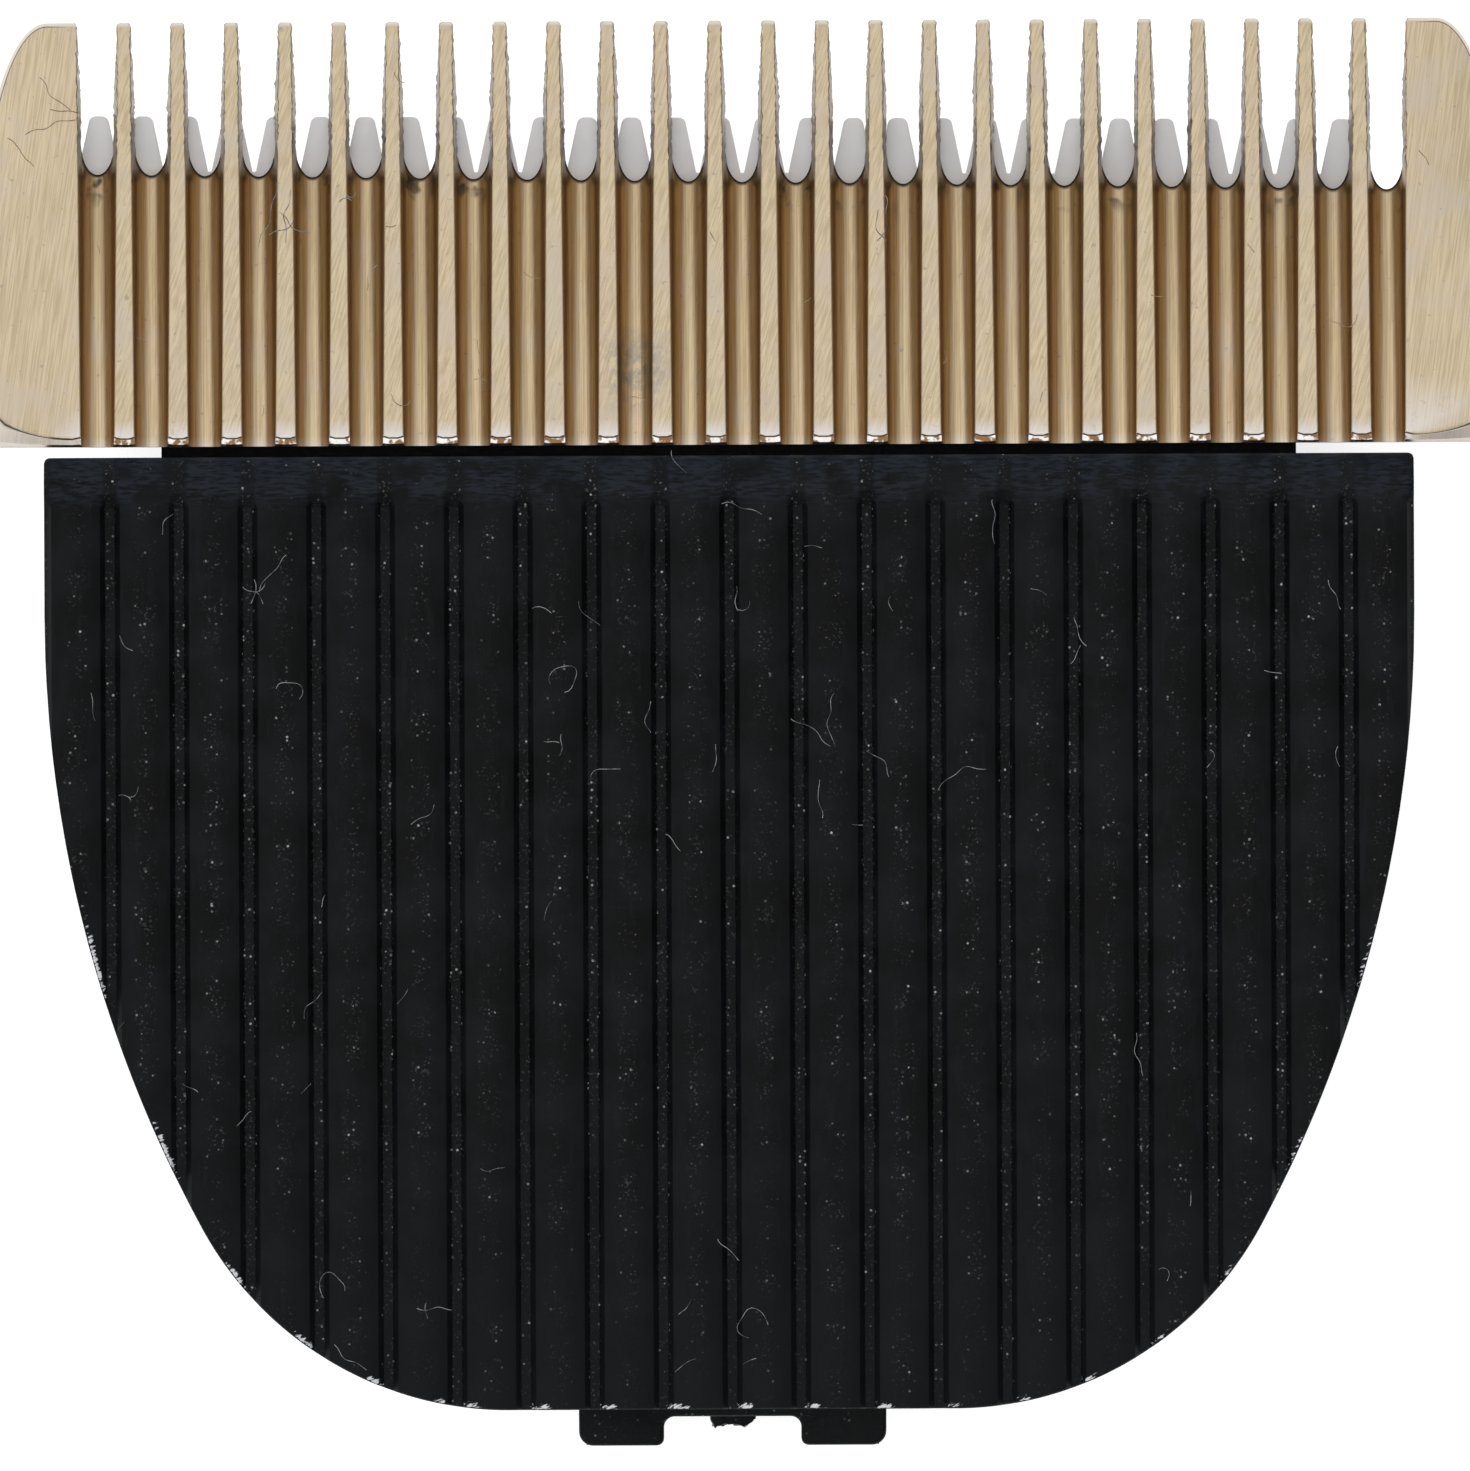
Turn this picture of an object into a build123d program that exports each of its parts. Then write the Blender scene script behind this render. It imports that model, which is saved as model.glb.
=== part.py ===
from build123d import *
import os
from math import cos, radians, sin, sqrt, tan

# A clipper head lying on its back, ribbed face up. Millimetres.
# X runs along the row of teeth, Y towards the tooth tips, Z up through the ribbed face.
# The origin is under the middle of the head, on the plane of the holder's rear rim.

# Levels above the rim
rub_level = 6.6  # plane on which the cutter slides under the comb
face_level = 10.0  # highest crest of the ribbed face
flange_level = 7.2  # underside of the face's overhanging edge
roof_level = 7.0  # ceiling of the hollow inside the holder

# Comb, the fixed gold blade
tooth_pitch = 1.5
tooth_count = 24  # fine teeth between the two wide end teeth
end_tooth_width = 2.5  # what each end tooth adds beyond its half pitch
comb_depth = 11.86  # rear edge to tooth tips
comb_rear_thickness = 3.0
comb_tip_thickness = 0.4
tip_bevel = 0.14
flute_radius = 0.45
flute_draft = 8.2  # lean of the flute walls, degrees
flute_rear_depth = 0.55  # depth of a flute where it leaves the rear edge
flute_overrun = 1.0  # how far the grinding runs past both edges
slot_width = 0.92  # gaps between the teeth
slot_sides = 10  # stands for their round ends
slot_root = 7.34  # rear edge to the round ends of the gaps
slot_land = 0.37  # thickness left under a flute at the end of its gap
edge_bevel = 0.18  # bevelled rear edge of the outer face, seen from above
edge_bevel_depth = 0.3
end_corner_width = 1.85  # long rounded front corners of the end teeth
end_corner_length = 6.1
rear_roll = 2.3  # radius of the rear corners, rolled over by the blanking die
rear_roll_depth = 0.9
relief_depth = 0.12  # hollow ground between the two rubbing lands
relief_land = 0.9  # width of the rear land in front of the shelf
relief_front_land = 1.3  # land behind the gaps
relief_end_land = 1.4  # land left at each end

# Cutter, the moving ceramic blade
cutter_pitch = 1.24
cutter_teeth = 29
cutter_tip_setback = 2.71  # behind the comb's tips
cutter_tip_width = 0.48
cutter_gap_depth = 1.54  # tooth tips to gap roots
cutter_root_width = 0.1
cutter_corner = 0.08
cutter_thickness = 1.3
cutter_tip_thickness = 0.55
cutter_slope_length = 2.4  # bevel from full thickness to the tips
cutter_rest = -0.6  # where the cutter stopped, from the comb's middle
cutter_swing = 1.2  # half of its stroke about the comb's middle
rub_gap = 0.01  # oil film between cutter and comb
cutter_rear_gap = 0.15

# Holder, the black moulding
holder_shift = -0.4  # the comb's screw holes have play, and it sits this much off the middle
comb_gap = 0.3  # comb's rear edge to the face's front edge
holder_width = 38.2
side_straight = 4.4
side_radius = 36.0
side_turn = 28.4  # degrees of the long side arc
rear_radius = 9.7
front_corner_radius = 0.45
face_radius = 220.0  # gentle front to rear crown of the face
crown_setback = 8.0  # highest line of the face, behind its front edge
rib_pitch = 1.918
rib_count = 20
groove_width = 0.42
groove_depth = 0.3
groove_wall_lean = 0.04
rib_crest = 0.7
rib_shoulder = 0.11  # fall of each rib's top from crest to groove
slope_length = 1.4  # rounded front edge of the face
slope_drop = 0.6
skirt_inset = 1.1
skirt_wall = 1.3
neck_width = 31.7
cheek_wall = 1.2
shelf_thickness = 1.4
shelf_reach = 2.7  # how far the shelf runs under the comb
snap_radius = 0.6  # rounded snap ridges on the skirt's sides
snap_proud = 0.3
snap_length = 3.2
snap_setback = 4.0
snap_level = 2.4

# Hook tongue at the rear, with the stub of the moulding gate
tongue_width = 8.6
tongue_level = 3.0
tongue_thickness = 1.8
tongue_base = 0.25  # beyond the face's rear edge
hook_reach = 1.06
hook_gap = 3.84
hook_corner = 0.4
hook_inner_corner = 0.3
hook_lip = 0.9  # how far the feet reach below the tongue
hook_lip_length = 0.85
gate_width = 1.3
gate_length = 0.3
gate_thickness = 0.8
gate_lean = 0.15
gate_break = 0.12  # dip in its broken end

# Screws that hold the comb on its shelf
screw_radius = 1.0
screw_spacing = 24.8
screw_setback = 1.15  # from the comb's rear edge
screw_bite = 1.5
screw_end_room = 0.15
screw_head_radius = 1.65
screw_head_height = 1.2
screw_head_bevel = 0.4
screw_play = 0.45  # along X
screw_slip = 0.06
thread_gap = 0.01
cross_length = 1.9
cross_width = 0.5
cross_depth = 0.6

# Yoke, the slider that drives the cutter
yoke_gap = 0.15  # running gap under the shelf and behind the neck
wing_setback = 0.45  # behind the cutter's rear edge line
wing_length = 3.0
wing_thickness = 1.4
wing_spare = 0.3  # beyond the spring's arms at full swing
wing_corner = 0.8
bridge_width = 13.0
bridge_thickness = 1.9
guide_width = 1.2
guide_height = 0.8
guide_gap = 0.1
fork_width = 8.8
fork_web = 0.9  # wall in front of the drive slot
fork_top = 6.3
fork_foot = 0.5
fork_corner = 0.5
drive_slot = 5.2
drive_slot_length = 4.3
drive_slot_roof = 5.1
peg_radius = 0.9
peg_spacing = 12.0
peg_height = 0.9
peg_gap = 0.02

# Tension spring of round wire
wire = 0.7
wire_sides = 8  # stands for round wire
spring_gap = 0.05
coil_turns = 2
coil_space = 0.1  # between neighbouring turns
coil_radius = 1.45  # to the middle of the wire
arm_room = 0.25  # between the arms and the yoke's bridge at full swing
coil_setback = 9.8
spring_leg = 3.2
spring_bend = 1.3
pin_gap = 0.15
pin_lug_gap = 0.35
pin_lug_wall = 1.3
spring_stop_width = 8.0
spring_stop_wall = 1.1

# Places along Y
holder_length = (
    side_straight + side_radius * sin(radians(side_turn)) + rear_radius * (1 - sin(radians(side_turn)))
)
overall_length = comb_depth + comb_gap + holder_length + hook_reach
tip_y = overall_length / 2
comb_rear_y = tip_y - comb_depth
holder_front_y = comb_rear_y - comb_gap
holder_rear_y = holder_front_y - holder_length
slot_root_y = comb_rear_y + slot_root
shelf_front_y = comb_rear_y + shelf_reach
neck_rear_y = holder_front_y - skirt_inset - skirt_wall
screw_y = comb_rear_y + screw_setback
cutter_tip_y = tip_y - cutter_tip_setback
cutter_rear_y = shelf_front_y + cutter_rear_gap
wing_rear_y = cutter_rear_y + wing_setback
fork_front_y = neck_rear_y - yoke_gap
fork_length = fork_web + drive_slot_length
guide_y = holder_front_y + comb_gap
coil_y = holder_front_y - coil_setback

# Places along Z
cutter_top = rub_level - rub_gap
cutter_bottom = cutter_top - cutter_thickness
shelf_bottom = rub_level - shelf_thickness
bridge_top = min(shelf_bottom - yoke_gap, cutter_bottom)
bridge_bottom = bridge_top - bridge_thickness
wing_bottom = cutter_bottom - wing_thickness
arm_level = wing_bottom - spring_gap - wire / 2
coil_level = arm_level - coil_radius

# Widths
comb_width = (tooth_count + 1) * tooth_pitch + 2 * end_tooth_width
cutter_width = cutter_teeth * cutter_pitch

# Spring
coil_pitch = wire + coil_space
coil_outer = bridge_width / 2 + cutter_swing + abs(holder_shift) + wire / 2 + arm_room
coil_inner = coil_outer - coil_turns * coil_pitch
arm_tip_y = wing_rear_y + wing_length / 2
wing_reach = coil_outer + wire + abs(holder_shift) + cutter_swing + wing_spare
leg_rear_y = coil_y - spring_leg
spring_rear_y = leg_rear_y - spring_bend
wire_turn = 180 / wire_sides

holder_base = Plane((holder_shift, holder_front_y, 0))

# Flute section: a round bottom with leaning walls
flute_floor = comb_rear_thickness - flute_rear_depth
flute_slope = (flute_floor - slot_land) / slot_root
flute_height = comb_rear_thickness
flute_tangent_x = flute_radius * cos(radians(flute_draft))
flute_tangent_z = flute_radius * (1 - sin(radians(flute_draft)))
flute_top_x = flute_tangent_x + (flute_height - flute_tangent_z) * tan(radians(flute_draft))

with BuildSketch() as flute_section:
    with BuildLine():
        ThreePointArc((-flute_tangent_x, flute_tangent_z), (0, 0), (flute_tangent_x, flute_tangent_z))
        Polyline(
            (flute_tangent_x, flute_tangent_z),
            (flute_top_x, flute_height),
            (-flute_top_x, flute_height),
            (-flute_tangent_x, flute_tangent_z),
        )
    make_face()

# Rolled rear corner: the outer face is rounded, and the square corner comes back further down
with BuildPart() as rolled_corners:
    with Locations((comb_width / 2 - rear_roll, comb_rear_y + rear_roll, rub_level + comb_rear_thickness)):
        Box(rear_roll, rear_roll, rear_roll_depth, align=(Align.MIN, Align.MAX, Align.MAX))
        Cone(
            rear_roll * sqrt(2),
            rear_roll,
            rear_roll_depth,
            align=(Align.CENTER, Align.CENTER, Align.MAX),
            mode=Mode.SUBTRACT,
        )
    mirror(about=Plane.YZ)

with BuildPart() as comb:
    # wedge: flat rubbing face below, slanted outer face above
    with BuildSketch(Plane.YZ):
        comb_slope = (comb_rear_thickness - comb_tip_thickness) / comb_depth
        with BuildLine():
            Polyline(
                (comb_rear_y, rub_level),
                (tip_y, rub_level),
                (tip_y, rub_level + comb_tip_thickness - tip_bevel),
                (tip_y - tip_bevel, rub_level + comb_tip_thickness + tip_bevel * comb_slope),
                (comb_rear_y, rub_level + comb_rear_thickness),
                close=True,
            )
        make_face()
    extrude(amount=comb_width / 2, both=True)
    # long rounded front corners
    with BuildSketch(Plane.XY.offset(rub_level)):
        with BuildLine():
            Line((comb_width / 2, comb_rear_y), (comb_width / 2, tip_y - end_corner_length))
            EllipticalCenterArc(
                (comb_width / 2 - end_corner_width, tip_y - end_corner_length),
                end_corner_width,
                end_corner_length,
                start_angle=0,
                arc_size=90,
            )
            mirror(about=Plane.YZ)
            Line((-comb_width / 2, comb_rear_y), (comb_width / 2, comb_rear_y))
            Line((end_corner_width - comb_width / 2, tip_y), (comb_width / 2 - end_corner_width, tip_y))
        make_face()
    extrude(amount=comb_rear_thickness, mode=Mode.INTERSECT)
    # bevelled rear edge of the outer face, and its rolled corners
    outer_face = comb.faces().sort_by(SortBy.AREA)[-2:].sort_by(Axis.Z)[-1]
    chamfer(outer_face.edges().sort_by(Axis.Y)[0], edge_bevel, edge_bevel_depth, reference=outer_face)
    add(rolled_corners.part, mode=Mode.SUBTRACT)
    # ground flutes
    flute_run = Vector(0, 1, -flute_slope)
    flute_start = (0, comb_rear_y - flute_overrun, rub_level + flute_floor + flute_overrun * flute_slope)
    with BuildSketch(Plane(flute_start, x_dir=(1, 0, 0), z_dir=-flute_run)):
        with GridLocations(tooth_pitch, 0, tooth_count + 1, 1):
            add(flute_section.sketch)
    extrude(amount=-(comb_depth + 2 * flute_overrun) * flute_run.length, mode=Mode.SUBTRACT)
    # gaps between the teeth, open at the tips
    with BuildSketch(Plane((0, slot_root_y + slot_width / 2, rub_level))):
        with GridLocations(tooth_pitch, 0, tooth_count + 1, 1):
            RegularPolygon(slot_width / 2, slot_sides, major_radius=False, rotation=180 / slot_sides)
            Rectangle(slot_width, comb_depth, align=(Align.CENTER, Align.MIN))
    extrude(amount=comb_rear_thickness, mode=Mode.SUBTRACT)
    # hollow between the lands
    relief_rear_y = shelf_front_y + relief_land
    relief_front_y = slot_root_y - relief_front_land
    with BuildSketch(Plane((0, relief_rear_y, rub_level))):
        Rectangle(
            comb_width - 2 * relief_end_land,
            relief_front_y - relief_rear_y,
            align=(Align.CENTER, Align.MIN),
        )
    extrude(amount=relief_depth, mode=Mode.SUBTRACT)
    # tapped holes
    with BuildSketch(Plane((0, screw_y, rub_level))):
        with GridLocations(screw_spacing, 0, 2, 1):
            Circle(screw_radius)
    extrude(amount=screw_bite + screw_end_room, mode=Mode.SUBTRACT)
comb.part.label = "comb_blade"

# Cutter gap: a narrow V with a small flat root and bevelled tooth corners at its mouth
gap_mouth = (cutter_pitch - cutter_tip_width) / 2

with BuildSketch() as cutter_gap:
    with BuildLine():
        Polyline(
            (-gap_mouth - cutter_corner, cutter_corner),
            (-gap_mouth - cutter_corner, 0),
            (-gap_mouth + cutter_corner * gap_mouth / cutter_gap_depth, -cutter_corner),
            (-cutter_root_width / 2, -cutter_gap_depth),
            (cutter_root_width / 2, -cutter_gap_depth),
            (gap_mouth - cutter_corner * gap_mouth / cutter_gap_depth, -cutter_corner),
            (gap_mouth + cutter_corner, 0),
            (gap_mouth + cutter_corner, cutter_corner),
            close=True,
        )
    make_face()

with BuildPart() as cutter:
    with BuildSketch(Plane.YZ.offset(cutter_rest)):
        with BuildLine():
            Polyline(
                (cutter_rear_y, cutter_top),
                (cutter_tip_y, cutter_top),
                (cutter_tip_y, cutter_top - cutter_tip_thickness),
                (cutter_tip_y - cutter_slope_length, cutter_bottom),
                (cutter_rear_y, cutter_bottom),
                close=True,
            )
        make_face()
    extrude(amount=cutter_width / 2, both=True)
    with BuildSketch(Plane((cutter_rest, cutter_tip_y, cutter_bottom))):
        with GridLocations(cutter_pitch, 0, cutter_teeth + 1, 1):
            add(cutter_gap.sketch)
    extrude(amount=cutter_thickness, mode=Mode.SUBTRACT)
    # holes for the yoke's pegs
    with BuildSketch(Plane((cutter_rest, wing_rear_y + wing_length / 2, cutter_bottom))):
        with GridLocations(peg_spacing, 0, 2, 1):
            Circle(peg_radius + peg_gap)
    extrude(amount=peg_height + peg_gap, mode=Mode.SUBTRACT)
cutter.part.label = "cutter_blade"

with BuildPart() as yoke:
    # wings under the cutter
    with BuildSketch(Plane((cutter_rest, wing_rear_y, wing_bottom))) as wings:
        Rectangle(2 * wing_reach, wing_length, align=(Align.CENTER, Align.MIN))
        chamfer(wings.vertices(), wing_corner)
    extrude(amount=wing_thickness)
    # bridge under the shelf, from the fork to the wings
    with BuildSketch(Plane((cutter_rest, fork_front_y - fork_length, bridge_bottom))):
        Rectangle(
            bridge_width,
            wing_rear_y + wing_length - fork_front_y + fork_length,
            align=(Align.CENTER, Align.MIN),
        )
    extrude(amount=bridge_thickness)
    # fork block behind the neck, open to the rear and below
    with BuildSketch(Plane((cutter_rest, fork_front_y, fork_foot))) as fork:
        Rectangle(fork_width, fork_length, align=(Align.CENTER, Align.MAX))
        chamfer(fork.vertices(), fork_corner)
    extrude(amount=fork_top - fork_foot)
    with BuildSketch(Plane((cutter_rest, fork_front_y - fork_web, fork_foot))):
        Rectangle(drive_slot, drive_slot_length, align=(Align.CENTER, Align.MAX))
    extrude(amount=drive_slot_roof - fork_foot, mode=Mode.SUBTRACT)
    # groove that runs on the shelf's guide
    with BuildSketch(Plane((cutter_rest, guide_y, bridge_top))):
        Rectangle(bridge_width, guide_width + 2 * guide_gap)
    extrude(amount=-(guide_height + guide_gap), mode=Mode.SUBTRACT)
    # pegs into the cutter
    with BuildSketch(Plane((cutter_rest, wing_rear_y + wing_length / 2, cutter_bottom))):
        with GridLocations(peg_spacing, 0, 2, 1):
            Circle(peg_radius)
    extrude(amount=peg_height)
yoke.part.label = "drive_yoke"

with BuildPart() as screws:
    with BuildSketch(Plane((0, screw_y, shelf_bottom))):
        with GridLocations(screw_spacing, 0, 2, 1):
            Circle(screw_head_radius)
    extrude(amount=-screw_head_height)
    chamfer(screws.edges().group_by(Axis.Z)[0], screw_head_bevel)
    with BuildSketch(Plane((0, screw_y, shelf_bottom))):
        with GridLocations(screw_spacing, 0, 2, 1):
            Circle(screw_radius - thread_gap)
    extrude(amount=shelf_thickness + screw_bite)
    with BuildSketch(Plane((0, screw_y, shelf_bottom - screw_head_height))):
        with GridLocations(screw_spacing, 0, 2, 1):
            Rectangle(cross_length, cross_width)
            Rectangle(cross_width, cross_length)
    extrude(amount=cross_depth, mode=Mode.SUBTRACT)
screws.part.label = "comb_screws"

with BuildPart() as spring:
    # rear bar, bend and leg up to the coil
    with BuildSketch(Plane.YZ.offset(holder_shift)):
        with Locations((spring_rear_y, arm_level)):
            RegularPolygon(wire / 2, wire_sides, major_radius=False, rotation=wire_turn)
    extrude(amount=coil_inner - spring_bend)
    bend_x = holder_shift + coil_inner - spring_bend
    with BuildSketch(Plane.YZ.offset(bend_x)):
        with Locations((spring_rear_y, arm_level)):
            RegularPolygon(wire / 2, wire_sides, major_radius=False, rotation=wire_turn)
    revolve(axis=Axis((bend_x, leg_rear_y, arm_level), (0, 0, 1)), revolution_arc=90)
    with BuildSketch(Plane.XZ.offset(-leg_rear_y)):
        with Locations((holder_shift + coil_inner, arm_level)):
            RegularPolygon(wire / 2, wire_sides, major_radius=False, rotation=wire_turn)
    extrude(amount=-spring_leg)
    # coil: each turn is two half circles, which lean so that the wire moves on by its pitch
    for turn in range(coil_turns):
        turn_x = holder_shift + coil_inner + turn * coil_pitch
        with BuildSketch(Plane.XZ.offset(-coil_y)):
            with Locations((turn_x, arm_level)):
                RegularPolygon(wire / 2, wire_sides, major_radius=False, rotation=wire_turn)
        front_middle = (turn_x + coil_pitch / 4, coil_y, coil_level)
        revolve(axis=Axis(front_middle, (-coil_radius, 0, -coil_pitch / 4)), revolution_arc=180)
        with BuildSketch(Plane.XZ.offset(-coil_y)):
            with Locations((turn_x + coil_pitch / 2, arm_level - 2 * coil_radius)):
                RegularPolygon(wire / 2, wire_sides, major_radius=False, rotation=wire_turn)
        rear_middle = (turn_x + coil_pitch * 3 / 4, coil_y, coil_level)
        revolve(axis=Axis(rear_middle, (-coil_radius, 0, coil_pitch / 4)), revolution_arc=180)
    # arm on to the wing
    with BuildSketch(Plane.XZ.offset(-coil_y)):
        with Locations((holder_shift + coil_outer, arm_level)):
            RegularPolygon(wire / 2, wire_sides, major_radius=False, rotation=wire_turn)
    extrude(amount=coil_y - arm_tip_y)
    mirror(about=Plane((holder_shift, 0, 0), x_dir=(0, 1, 0), z_dir=(1, 0, 0)))
spring.part.label = "tension_spring"

# Plan of the face: straight sides, long arcs, tight rear corners and a flat rear edge
with BuildSketch() as shield:
    with BuildLine():
        shield_side = Line((holder_width / 2, 0), (holder_width / 2, -side_straight))
        shield_flank = JernArc(shield_side @ 1, shield_side % 1, side_radius, -side_turn)
        shield_rear = JernArc(shield_flank @ 1, shield_flank % 1, rear_radius, side_turn - 90)
        mirror(about=Plane.YZ)
        Line((-holder_width / 2, 0), (holder_width / 2, 0))
        Line((-(shield_rear @ 1).X, -holder_length), ((shield_rear @ 1).X, -holder_length))
    make_face()
    fillet(shield.vertices().group_by(Axis.Y)[-1], front_corner_radius)

# Section of one rib: steep sides, sloping shoulders and a narrow crest
rib_width = rib_pitch - groove_width
with BuildSketch() as rib_section:
    with BuildLine():
        Polyline(
            (-rib_crest / 2, 0),
            (rib_crest / 2, 0),
            (rib_width / 2, -rib_shoulder),
            (rib_width / 2 + groove_wall_lean, -groove_depth),
            (-rib_width / 2 - groove_wall_lean, -groove_depth),
            (-rib_width / 2, -rib_shoulder),
            close=True,
        )
    make_face()

with BuildPart() as holder:
    # skirt and overhanging face as full blocks
    with BuildSketch(holder_base):
        add(shield.sketch)
        offset(amount=-skirt_inset, mode=Mode.REPLACE)
    extrude(amount=face_level)
    with BuildSketch(holder_base.offset(flange_level)):
        add(shield.sketch)
    extrude(amount=face_level - flange_level)
    # crowned, ribbed face
    crown_y = holder_front_y - crown_setback
    crown_axis = Axis((holder_shift, crown_y, face_level - face_radius), (1, 0, 0))
    section_level = face_level - 2 * face_radius
    with BuildSketch(Plane((holder_shift, crown_y, section_level), x_dir=(1, 0, 0), z_dir=(0, 1, 0))):
        with Locations((0, -groove_depth)):
            Rectangle(2 * holder_width, 2 * face_level, align=(Align.CENTER, Align.MAX))
        with GridLocations(rib_pitch, 0, rib_count, 1):
            add(rib_section.sketch)
    revolve(axis=crown_axis, mode=Mode.INTERSECT)
    # rounded front edge of the face
    with BuildSketch(Plane.YZ.offset(holder_shift)):
        with BuildLine():
            slope_arc = TangentArc(
                (holder_front_y - slope_length, face_level),
                (holder_front_y, face_level - slope_drop),
                tangent=(1, 0),
            )
            Polyline(
                slope_arc @ 1,
                (holder_front_y + slope_length, face_level - slope_drop),
                (holder_front_y + slope_length, face_level + slope_drop),
                (holder_front_y - slope_length, face_level + slope_drop),
                slope_arc @ 0,
            )
        make_face()
    extrude(amount=holder_width, both=True, mode=Mode.SUBTRACT)
    # hollow inside the skirt
    with BuildSketch(holder_base):
        add(shield.sketch)
        offset(amount=-(skirt_inset + skirt_wall), mode=Mode.REPLACE)
    extrude(amount=roof_level, mode=Mode.SUBTRACT)
    # neck: shelf under the comb, wall up to the face, and a tunnel between two cheeks
    with BuildSketch(Plane((holder_shift, neck_rear_y, 0))):
        Rectangle(neck_width, shelf_front_y - neck_rear_y, align=(Align.CENTER, Align.MIN))
    extrude(amount=rub_level)
    with BuildSketch(Plane((holder_shift, neck_rear_y, rub_level))):
        Rectangle(neck_width, holder_front_y - neck_rear_y, align=(Align.CENTER, Align.MIN))
    extrude(amount=max(flange_level, roof_level) - rub_level)
    with BuildSketch(Plane((holder_shift, neck_rear_y, 0))):
        Rectangle(neck_width - 2 * cheek_wall, shelf_front_y - neck_rear_y, align=(Align.CENTER, Align.MIN))
    extrude(amount=shelf_bottom, mode=Mode.SUBTRACT)
    # holes for the comb's screws
    with BuildSketch(Plane((holder_shift, screw_y, shelf_bottom))):
        with GridLocations(screw_spacing, 0, 2, 1):
            SlotOverall(2 * (screw_radius + screw_play), 2 * (screw_radius + screw_slip))
    extrude(amount=shelf_thickness, mode=Mode.SUBTRACT)
    # guide for the yoke
    with BuildSketch(Plane((holder_shift, guide_y, shelf_bottom))):
        Rectangle(bridge_width + 4 * cutter_swing, guide_width)
    extrude(amount=-guide_height)
    # pins for the spring's coils on lugs from the roof, and snap ridges on the skirt
    pin_radius = coil_radius - wire / 2 - pin_gap
    lug_inner = coil_outer + wire / 2 + pin_lug_gap
    for side in (-1, 1):
        with BuildSketch(Plane.YZ.offset(holder_shift + side * (coil_inner - wire / 2))):
            with Locations((coil_y, coil_level)):
                Circle(pin_radius)
        extrude(amount=side * (lug_inner - coil_inner + wire / 2))
        with BuildSketch(Plane.YZ.offset(holder_shift + side * lug_inner)):
            with Locations((coil_y, coil_level)):
                Circle(pin_radius)
                Rectangle(2 * pin_radius, roof_level - coil_level, align=(Align.CENTER, Align.MIN))
        extrude(amount=side * pin_lug_wall)
        snap_x = side * (holder_width / 2 - skirt_inset + snap_proud - snap_radius)
        with BuildSketch(Plane.XZ.offset(-(holder_front_y - snap_setback))):
            with Locations((holder_shift + snap_x, snap_level)):
                Circle(snap_radius)
        extrude(amount=snap_length)
    # stop over the spring's rear bar
    with BuildSketch(Plane((holder_shift, spring_rear_y, arm_level + wire / 2 + spring_gap))):
        Rectangle(spring_stop_width, spring_stop_wall)
    extrude(amount=roof_level - arm_level - wire / 2 - spring_gap)
    # hook tongue
    with BuildSketch(Plane((holder_shift, holder_rear_y, tongue_level))) as tongue:
        with Locations((0, skirt_inset + skirt_wall / 2)):
            Rectangle(
                tongue_width,
                skirt_inset + skirt_wall / 2 + hook_reach,
                align=(Align.CENTER, Align.MAX),
            )
        with Locations((0, -tongue_base)):
            Rectangle(hook_gap, hook_reach, align=(Align.CENTER, Align.MAX), mode=Mode.SUBTRACT)
        fillet(tongue.vertices().group_by(Axis.Y)[-2], hook_inner_corner)
        fillet(tongue.vertices().group_by(Axis.X)[0].sort_by(Axis.Y)[0], hook_corner)
        fillet(tongue.vertices().group_by(Axis.X)[-1].sort_by(Axis.Y)[0], hook_corner)
    extrude(amount=tongue_thickness)
    # lips of the two feet
    with BuildSketch(Plane((holder_shift, holder_rear_y - hook_reach, tongue_level))) as lips:
        with GridLocations((tongue_width + hook_gap) / 2, 0, 2, 1):
            Rectangle(
                (tongue_width - hook_gap) / 2 - hook_corner,
                hook_lip_length,
                align=(Align.CENTER, Align.MIN),
            )
    extrude(amount=-hook_lip)
    # rough stub where the moulding gate was broken off
    gate_level = tongue_level + (tongue_thickness - gate_thickness) / 2
    with BuildSketch(Plane((holder_shift, holder_rear_y - tongue_base, gate_level))):
        with BuildLine():
            Polyline(
                (-gate_width / 2, 0),
                (gate_lean - gate_width / 2, -gate_length),
                (-gate_lean / 2, gate_break - gate_length),
                (gate_width / 2 - 2 * gate_lean, -gate_length),
                (gate_width / 2, 0),
                close=True,
            )
        make_face()
    extrude(amount=gate_thickness)
holder.part.label = "blade_holder"

os.makedirs("parts", exist_ok=True)
for piece in (holder, comb, screws, cutter, yoke, spring):
    export_step(piece.part, f"parts/{piece.part.label}.step")
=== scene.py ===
import math
import random
from contextlib import contextmanager
import bmesh
import bpy
from mathutils import Matrix, Vector, noise


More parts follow.
